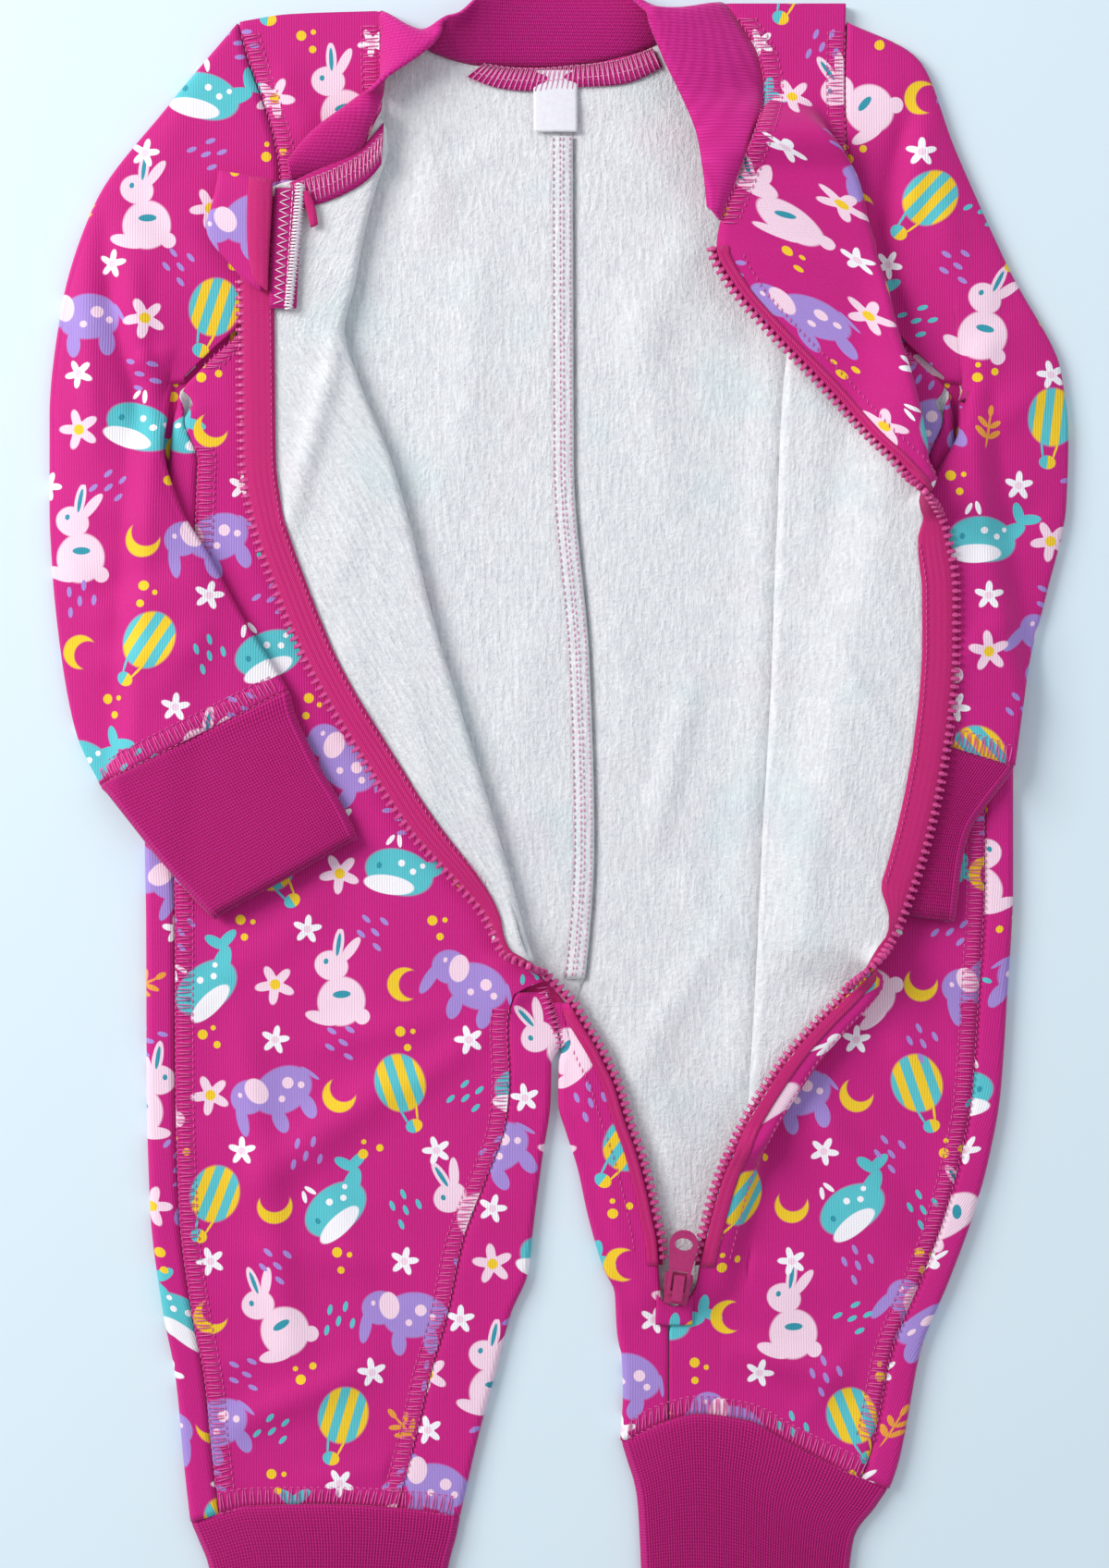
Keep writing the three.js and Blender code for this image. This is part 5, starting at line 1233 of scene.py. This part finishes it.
tapeRight, pathRight = zipHalf([
    (frontRight, -1, zipEnds["topRight"], -73), (innerLeftPanel, 0, 0, zipEnds["bottom"])],
    tapeWidths["right"], zipEnds["teethRight"])
tapeLeft, pathLeft = zipHalf([(frontLeft, -1, zipEnds["topLeft"], zipEnds["bottom"])],
                             tapeWidths["left"], zipEnds["topLeft"])
sew("zipTapeRight", tapeRight, zipSizes["tape"], "tape", (0.0125, 0.46), ["front_right"],
    ["zip_tape_right"])
sew("zipTapeLeft", tapeLeft, zipSizes["tape"], "tape", (0.0125, 0.43), ["front_left"],
    ["zip_tape_left"])
dress(teethMesh("zipTeethRight", pathRight), ["zip_chain_right"])
dress(teethMesh("zipTeethLeft", pathLeft), ["zip_chain_left"])
print("zip made")

# small sewn pieces
backTopFace = fabric["thickness"] + fabric["gap"]
printShift = (11, 7)  # where the print falls on the small pieces


def smallPanel(corners, rows, columns):  # cubic across a few given rows
    across = [through(row, columns) for row in corners]
    grid = np.stack([through([points[k] for points in across], rows) for k in range(columns)], axis=1)
    return Panel(grid, grid[..., :2] + printShift)


def centreStrip():
    grid = []
    for y in spaced(246, -74, 3):
        wave = 0.18 * math.sin(y / 9.0) + 0.1 * math.sin(y / 3.7)
        row = []
        for share in np.linspace(0, 1, 7):
            rise = 0.6 + 0.25 * math.sin(math.pi * share) + wave * (1 - share) ** 2 * 0.5
            row.append((line["centreBack"](y) - 7.6 * (1 - share), y, backTopFace + rise))
        grid.append(row)
    grid = np.array(grid)
    grid[..., 2] += np.maximum(0, relief("fleece", grid[..., 0], grid[..., 1]))
    return Panel(grid, grid[..., :2])


allowancePanel = centreStrip()
sew("backSeamStrip", allowancePanel, 0.9, "fleece", (0.01, 0.309), ["back_right"],
    ["back_seam_allowance"], area=0.0024)

labelRows = [[(x, y, backTopFace + height + lift) for x, height in ((-8, 0.6), (0.4, 0.8), (8.8, 0.6))]
             for y, lift in ((271, 0.4), (264, 0.3), (256, 0.7), (247.5, 1.2))]
sew("neckLabelSatin", smallPanel(labelRows, 22, 15), 0.5, "label", (0.0168, 0.0235),
    ["back_right", "back_left"], ["neck_label"])

guardRows = [
    [(-126.4, 231.2, 11.4), (-116, 229.4, 12), (-106, 227.6, 12.4)],
    [(-129, 219, 11.6), (-118, 215, 12.3), (-107.4, 212, 12.4)],
    [(-131.3, 210, 11.4), (-120.6, 203, 12), (-108.8, 199, 12.4)],
    [(-119.2, 192.4, 11.4), (-115.4, 188.8, 11.9), (-110.4, 185.4, 12.4)]]
sew("chinGuardCloth", smallPanel(guardRows, 22, 14), 1.7, "printed", (0.0245, 0.043),
    ["front_right"], ["chin_guard"], held="folded", roundRows=True)
bindingRows = [[(-105.4 - 0.8 * i + x, y, 10.9) for x in (0, 5.2, 10.4)]
               for i, y in enumerate((224.8, 210, 196, 179.4))]
sew("chinGuardBinding", smallPanel(bindingRows, 26, 9), 1.0, "rib", (0.0105, 0.0455), ["front_right"],
    ["chin_guard_binding"])
patchRows = [
    [(38.6, -193, 7.9), (42, -196.2, 7.4), (45.4, -197.6, 7.3), (48.8, -196.2, 7.4), (52.2, -193, 7.9)],
    [(38.4, -199, 6.9), (42, -200.4, 6.7), (45.3, -201, 6.6), (48.7, -200.4, 6.7), (52.2, -199, 6.9)],
    [(38.3, -204.8, 5.9), (42, -205, 5.9), (45.3, -205, 5.9), (48.7, -205, 5.9), (52.2, -204.8, 5.9)]]
sew("zipEndPatchCloth", smallPanel(patchRows, 12, 15), 1.0, "printed", (0.014, 0.0125),
    ["front_left"], ["zip_end_patch"], roundRows=True)

# sewing: short lengths of thread, each kind joined in one mesh
threadForm = dict(sides=4, taper=0.55, onFace=fabric["thickness"] / 2 + 0.12, onFleece=-2.5, cuffInset=3.6,
                  lean=0.35, rise=0.18, dip=0.12)
threadRadius = dict(seam=0.27, needle=0.24, strip=0.26, fine=0.22, roll=0.42)
upward = np.array([0.0, 0.0, 1.0])


def threadMesh(name, lengths, kind, material):
    verts, faces = [], []
    sides = threadForm["sides"]
    for points, up in lengths:
        points = np.array(points)
        along = unit(np.gradient(points, axis=0))
        across = unit(np.cross(along, up))
        above = unit(np.cross(across, along))
        addTube(faces, len(verts), len(points), sides)
        for k, point in enumerate(points):
            size = threadRadius[kind] * (threadForm["taper"] if k in (0, len(points) - 1) else 1.0)
            for j in range(sides):
                a = 2 * math.pi * (j + 0.5) / sides
                verts.append(point + (across[k] * math.cos(a) + above[k] * math.sin(a)) * size)
    dress(makeMesh(name, np.array(verts), faces, [finish[material]]), [])


def evenly(points, ups, sides, pitch, phase=0.5):
    run = runAlong(points)
    for place in np.arange(pitch * phase, run[-1] - pitch * 0.4, pitch):
        yield atRun(place, run, points), unit(atRun(place, run, ups)), unit(atRun(place, run, sides))


def seamBand(path, width, pitch=1.45, wave=0.0):  # bars of thread across a seam
    lengths = []
    for k, (p, up, side) in enumerate(evenly(*path, pitch)):
        lean = np.cross(up, side) * threadForm["lean"] * (1 if k % 2 else -1) * (1 + wave)
        a = p - side * width / 2 - up * 0.05
        b = p + side * width / 2 - up * 0.05 + lean
        rise = up * threadForm["rise"]
        lengths.append(([a, mix(a, b, 0.3) + rise, mix(a, b, 0.7) + rise, b], up))
    return lengths


def needleRow(path, offset=0.0, pitch=2.5, dash=1.7):
    points, ups, sides = path
    lengths = []
    for p, up, side in evenly(points + sides * offset, ups, sides, pitch):
        along = np.cross(up, side) * dash / 2
        dip = up * threadForm["dip"]
        lengths.append(([p - along - dip, p + up * 0.2, p + along - dip], up))
    return lengths


def panelPath(panel, end, inset, top, bottom, lift=threadForm["onFace"]):
    # a distance in from one side of a panel, on its outward face or, with a negative lift, on its fleece
    pair = panel.inset([inset, inset + 1.0], end, top, bottom, lift)
    ups = []
    for row in panel.rowsBetween(end, top, bottom):
        points, normals, run = panel.rowFrom(row, end)
        ups.append(atRun(inset, run, normals))
    return pair[:, 0], unit(np.array(ups)) * np.sign(lift), unit(pair[:, 1] - pair[:, 0])


def ringPath(panel, columns):  # over the last rows of a panel, a little way in from its hem
    picked, ups, sides = [], [], []
    for c in columns:
        points = panel.points[::-1, c]
        run = runAlong(points)
        up = unit(atRun(threadForm["cuffInset"], run, panel.normals[::-1, c]))
        picked.append(atRun(threadForm["cuffInset"], run, points) + up * threadForm["onFace"])
        ups.append(up)
        sides.append(unit(points[1] - points[0]))
    return np.array(picked), np.array(ups), np.array(sides)


def hemPath(parts):
    paths = [ringPath(panel, range(count)) for panel, count in parts]
    return tuple(np.concatenate(rows) for rows in zip(*paths))


def levelPath(points, sides=None):
    ups = np.tile(upward, (len(points), 1))
    return points, ups, unit(np.cross(unit(np.gradient(points, axis=0)), ups)) if sides is None else sides


def chainPath(points):  # a path drawn on a level face
    length = np.linalg.norm(np.diff(np.array(points, float), axis=0), axis=1).sum()
    return levelPath(through(points, max(12, int(length / 3))))


upColumns = dict(sleeve=stepCount["sleeve"], innerLeg=stepCount["innerLeg"] + 1,
                 right=frontRight.points.shape[1], left=frontLeft.points.shape[1])
bands = [(hemPath(parts), 6.4) for parts in (
    [(sleeveRightPanel, upColumns["sleeve"])], [(sleeveLeftPanel, upColumns["sleeve"])],
    [(frontRight, upColumns["right"]), (innerRightPanel, upColumns["innerLeg"])],
    [(frontLeft, upColumns["left"]), (innerLeftPanel, upColumns["innerLeg"])])]
bands += [(panelPath(panel, end, inset, top, bottom), width) for panel, end, inset, top, bottom, width in (
    (frontRight, 0, 3.4, 286, 156, 5.6), (frontLeft, 0, 3.4, 286, 156, 5.6),
    (frontRight, -1, 3.2, -84, -272, 5.4), (frontLeft, 0, 3.4, 130, -250, 5.6),
    (frontRight, 0, 3.4, 130, -270, 5.6), (frontLeft, -1, 3.6, 292, 208, 6.0),
    (frontRight, -1, 3.6, 290, 248, 6.0))]
bandThreads, needleThreads = [], []
for path, width in bands:
    bandThreads += seamBand(path, width)
    needleThreads += needleRow(path, -width / 2 - 0.5) + needleRow(path, width / 2 + 0.5)
threadMesh("seamThreads", bandThreads, "seam", "seamThread")

# single rows of stitching beside the zip and along the tapes
for panel, end, inset, top, bottom, lift in (
        (frontLeft, -1, 9.6, 200, -40, threadForm["onFace"]),
        (frontRight, -1, 9.6, 220, -40, threadForm["onFleece"]),
        (frontLeft, -1, 9.4, 92, -40, threadForm["onFleece"]),
        (innerLeftPanel, 0, 9.0, -100, -180, threadForm["onFace"]),
        (frontLeft, -1, 10.6, -70, -180, threadForm["onFace"])):
    needleThreads += needleRow(panelPath(panel, end, inset, top, bottom, lift))
threadMesh("needleThreads", needleThreads, "needle", "seamThread")

# the strip down the centre back: four rows in pale thread
stripPoints = allowancePanel.points
stripThreads = []
for column, pitch in ((0, 2.5), (2, 2.3), (3, 2.5), (5, 2.1)):
    path = levelPath(stripPoints[:, column] + upward * 0.56, np.tile([1.0, 0.0, 0.0], (len(stripPoints), 1)))
    stripThreads += needleRow(path, 0.0, pitch, pitch * 0.62)
threadMesh("backStripThreads", stripThreads, "strip", "thread")

# neck allowances: rib edges covered by close loops of pale thread
neckStrips = dict(
    backNeckStrip=(3.1, [(-28, 272.7), (-18, 272.2), (-8.4, 272), (10.2, 272.8), (26.3, 276.3),
                         (37.5, 279.3)],
                   2.9, [(-33, 268.6), (-23, 264.8), (-14, 263.4), (6, 264.6), (31.5, 267.4), (41, 272.3)],
                   ["back_right", "back_left"], (0.0725, 0.0105)),
    lapelNeckStrip=(9.7, [(-64.4, 250), (-71.4, 242), (-83, 235), (-93, 230.4), (-100, 227)],
                    9.35, [(-65.4, 234), (-69, 229.6), (-80.2, 222.4), (-90.3, 218.6), (-97.5, 216.6)],
                    ["front_right"], (0.043, 0.0125)))
for name, (seamHeight, seamPoints, lowHeight, lowPoints, restsOn, cut) in neckStrips.items():
    seamLine, lowLine = (through([(x, y, height) for x, y in points], 60)
                         for height, points in ((seamHeight, seamPoints), (lowHeight, lowPoints)))
    grid = np.stack([mix(seamLine, lowLine, share) + upward * 0.25 * math.sin(math.pi * share)
                     for share in np.linspace(0, 1, 7)], axis=1)
    sew(name, Panel(grid, grid[..., :2]), 0.9, "rib", cut, restsOn, roundRows=True)
    middle = levelPath(mix(seamLine, lowLine, 0.52) + upward * 0.7, unit(lowLine - seamLine))
    loops = seamBand(middle, 9.0, 0.95, 0.8)
    loops += needleRow(middle, -4.2, 2.2, 1.6) + needleRow(middle, 0.6, 2.2, 1.6)
    threadMesh(name + "Threads", loops, "fine", "thread")

# chin guard: plain fold beside the flap, zig-zag down its binding, thick overlocked edge and the tape's end
foldRows = [[(-115.2, 228.4, 13.3), (-110.6, 228, 14), (-106, 227.4, 13.3)],
            [(-115.8, 212.6, 13.3), (-111.4, 212.2, 14.1), (-106.8, 211.8, 13.3)],
            [(-115.2, 199, 13.2), (-111.6, 198.6, 13.9), (-107.6, 198, 13.2)],
            [(-112.8, 188.4, 12.9), (-110.6, 187.2, 13.3), (-108, 185.4, 12.9)]]
sew("chinGuardFold", smallPanel(foldRows, 22, 9), 0.9, "tape", (0.0105, 0.042), ["chin_guard"],
    area=0.0004, held="folded", roundRows=True)
endRows = [[(-95.6, 223, 11.6), (-94, 223.4, 11.9), (-92.4, 223.6, 11.6)],
           [(-93.6, 216.4, 11.2), (-91.9, 216.6, 11.5), (-90.2, 217, 11.2)],
           [(-92, 209.8, 10.9), (-90.6, 210.2, 11.1), (-89.2, 211, 10.9)]]
sew("zipTapeEnd", smallPanel(endRows, 10, 7), 0.8, "tape", (0.01, 0.0135), ["front_right"],
    area=0.00005, roundRows=True)
guardPath = chainPath([(-101.4 - 0.9 * i, y, 11.75) for i, y in enumerate((224, 210, 196, 180))])
zigzag = []
for k, (p, up, side) in enumerate(evenly(*guardPath, 1.6)):
    along = np.cross(up, side)
    swing = side * 1.9 * (-1) ** k
    zigzag.append(([p - swing - along * 0.8, p + up * 0.2, p + swing + along * 0.8], up))
zigzag += needleRow(guardPath, -2.7, 2.2, 1.7)
threadMesh("chinGuardThreads", zigzag, "fine", "threadWhite")
rollPath = chainPath([(-95.9, 226, 12.2), (-97.2, 210, 12.2), (-98.7, 195, 12.1), (-100.4, 179, 11.9)])
roll = []
for k, (p, up, side) in enumerate(evenly(*rollPath, 0.62)):
    lean = np.cross(up, side) * (0.5 if k % 2 else -0.4)
    reach = side * (1.7 + 0.3 * math.sin(k * 2.4))
    roll.append(([p - reach - up * 1.0, p - reach * 0.5 + up * 0.1, p + lean * 0.5 + up * 0.55,
                  p + reach * 0.5 + lean + up * 0.1, p + reach - up * 1.0], up))
threadMesh("chinGuardOverlock", roll, "roll", "threadWhite")

# on the print side the tape shows between the teeth and the cloth's turned edge
tapeFronts = dict(chestLeft=(frontLeft, -1, 203, 96, 4.6), crotchLeft=(frontLeft, -1, -62, -183, 5.6),
                  innerLeg=(innerLeftPanel, 0, -84, -183, 4.4))
for name, (panel, end, top, bottom, width) in tapeFronts.items():
    places = np.linspace(0, width, 6)
    grid = panel.inset(places, end, top, bottom, fabric["thickness"] / 2 + 0.25)
    length = float(runAlong(grid[:, 0])[-1])
    flat = np.stack(np.meshgrid(places, np.linspace(0, -length, len(grid))), axis=-1)
    sew(name + "TapeFront", Panel(grid, flat), 0.5, "tape", (0.01, round(length / 1000, 3)),
        ["front_left"], area=width * length * 1e-6)

# cloth tucked below the armpits and at the crotch, where the photo shows no table between the panels
nearCrotch = np.concatenate([innerRightPanel.points.reshape(-1, 3), innerLeftPanel.points.reshape(-1, 3)])
nearCrotch = nearCrotch[np.hypot(nearCrotch[:, 0] + 2, nearCrotch[:, 1] + 84) < 9]
crotchTop = float(np.median(nearCrotch[:, 2]))
tucks = dict(
    armpitTuckRight=([[(-154, 168, 1.7), (-138, 174, 1.7), (-117, 180, 1.7)],
                      [(-152, 150, 1.6), (-142, 150, 1.4), (-130, 152, 1.6)],
                      [(-151, 112, 1.6), (-144, 112, 1.4), (-138, 112, 1.6)]], "sleeve_right", (0.025, 0.06)),
    armpitTuckLeft=([[(124, 180, 1.7), (142, 174, 1.7), (160, 168, 1.7)],
                     [(140, 148, 1.6), (150, 148, 1.4), (160, 148, 1.6)],
                     [(144, 112, 1.6), (150, 112, 1.4), (156, 112, 1.6)]], "sleeve_left", (0.022, 0.06)))
for name, (rows, restsOn, cut) in tucks.items():
    sew(name, smallPanel(rows, 16, 9), 1.0, "printed", cut, [restsOn])
crotchRows = [[(x, y, crotchTop - below) for x, y, below in row] for row in (
    [(-18, -72.5, 1.5), (-10, -73.6, 1.3), (-2.4, -74.8, 1.3)],
    [(-18, -79, 1.5), (-8, -79, 1.1), (1.0, -79, 1.0)],
    [(-16, -87, 1.7), (-6, -86.6, 1.3), (5.2, -85, 1.3)])]
sew("crotchTuck", smallPanel(crotchRows, 16, 9), 1.0, "tape", (0.0215, 0.014), ["inner_leg_right"])
crotchSeam = chainPath([(x, y, crotchTop + above) for x, y, above in (
    (-4.5, -77, 1.15), (-3.5, -81.2, 1.15), (0, -90, 1.1), (2.5, -99.8, 0.6))])
threadMesh("crotchThreads", seamBand(crotchSeam, 4.6, 1.0, 0.6), "needle", "seamThread")
print("small pieces and sewing made")

for node in ("zip_slider", "zip_pull"):
    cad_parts[node].data.materials.clear()
    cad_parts[node].data.materials.append(finish["metal"])

# stage: a pale table, soft daylight from the upper left and the camera straight above
stage = dict(half=1500.0, cameraHeight=1.1, camera=1.106, frameHeight=0.594, sensor=36.0, worldPower=0.5)


def lamp(name, place, size, power, colour):
    light = bpy.data.lights.new(name, "AREA")
    light.shape = "RECTANGLE"
    light.size, light.size_y = size
    light.energy = power
    light.color = colour
    holder = bpy.data.objects.new(name, light)
    holder.location = place
    holder.rotation_euler = (-Vector(place)).to_track_quat("-Z", "Y").to_euler()
    bpy.context.collection.objects.link(holder)


def makeCamera():
    camera = bpy.data.cameras.new("camera")
    camera.sensor_width = stage["sensor"]
    camera.lens = stage["sensor"] * stage["cameraHeight"] / stage["frameHeight"]
    holder = bpy.data.objects.new("camera", camera)
    holder.location = (0, 0, stage["camera"])
    bpy.context.collection.objects.link(holder)
    bpy.context.scene.camera = holder


tableCorners = [(x * stage["half"], y * stage["half"], 0) for x, y in ((-1, -1), (1, -1), (1, 1), (-1, 1))]
tableFinish = plainMaterial("paleTable", tone(214, 230, 239), tone(220, 234, 242), 3, 0.00002, roughness=0.6)
makeMesh("tableTop", np.array(tableCorners), [(0, 1, 2, 3)], [tableFinish])
lamp("window", (-1.5, 0.8, 1.2), (0.9, 1.2), 41, (1.0, 0.99, 0.97))
lamp("fill", (1.4, 0.6, 1.6), (1.8, 1.8), 8, (0.93, 0.97, 1.0))
makeCamera()
world = bpy.data.worlds.new("room")
bpy.context.scene.world = world
world.use_nodes = True
background = world.node_tree.nodes["Background"]
background.inputs[0].default_value = (0.86, 0.93, 1.0, 1.0)
background.inputs[1].default_value = stage["worldPower"]
bpy.context.scene.view_settings.view_transform = "Standard"
print("stage made")
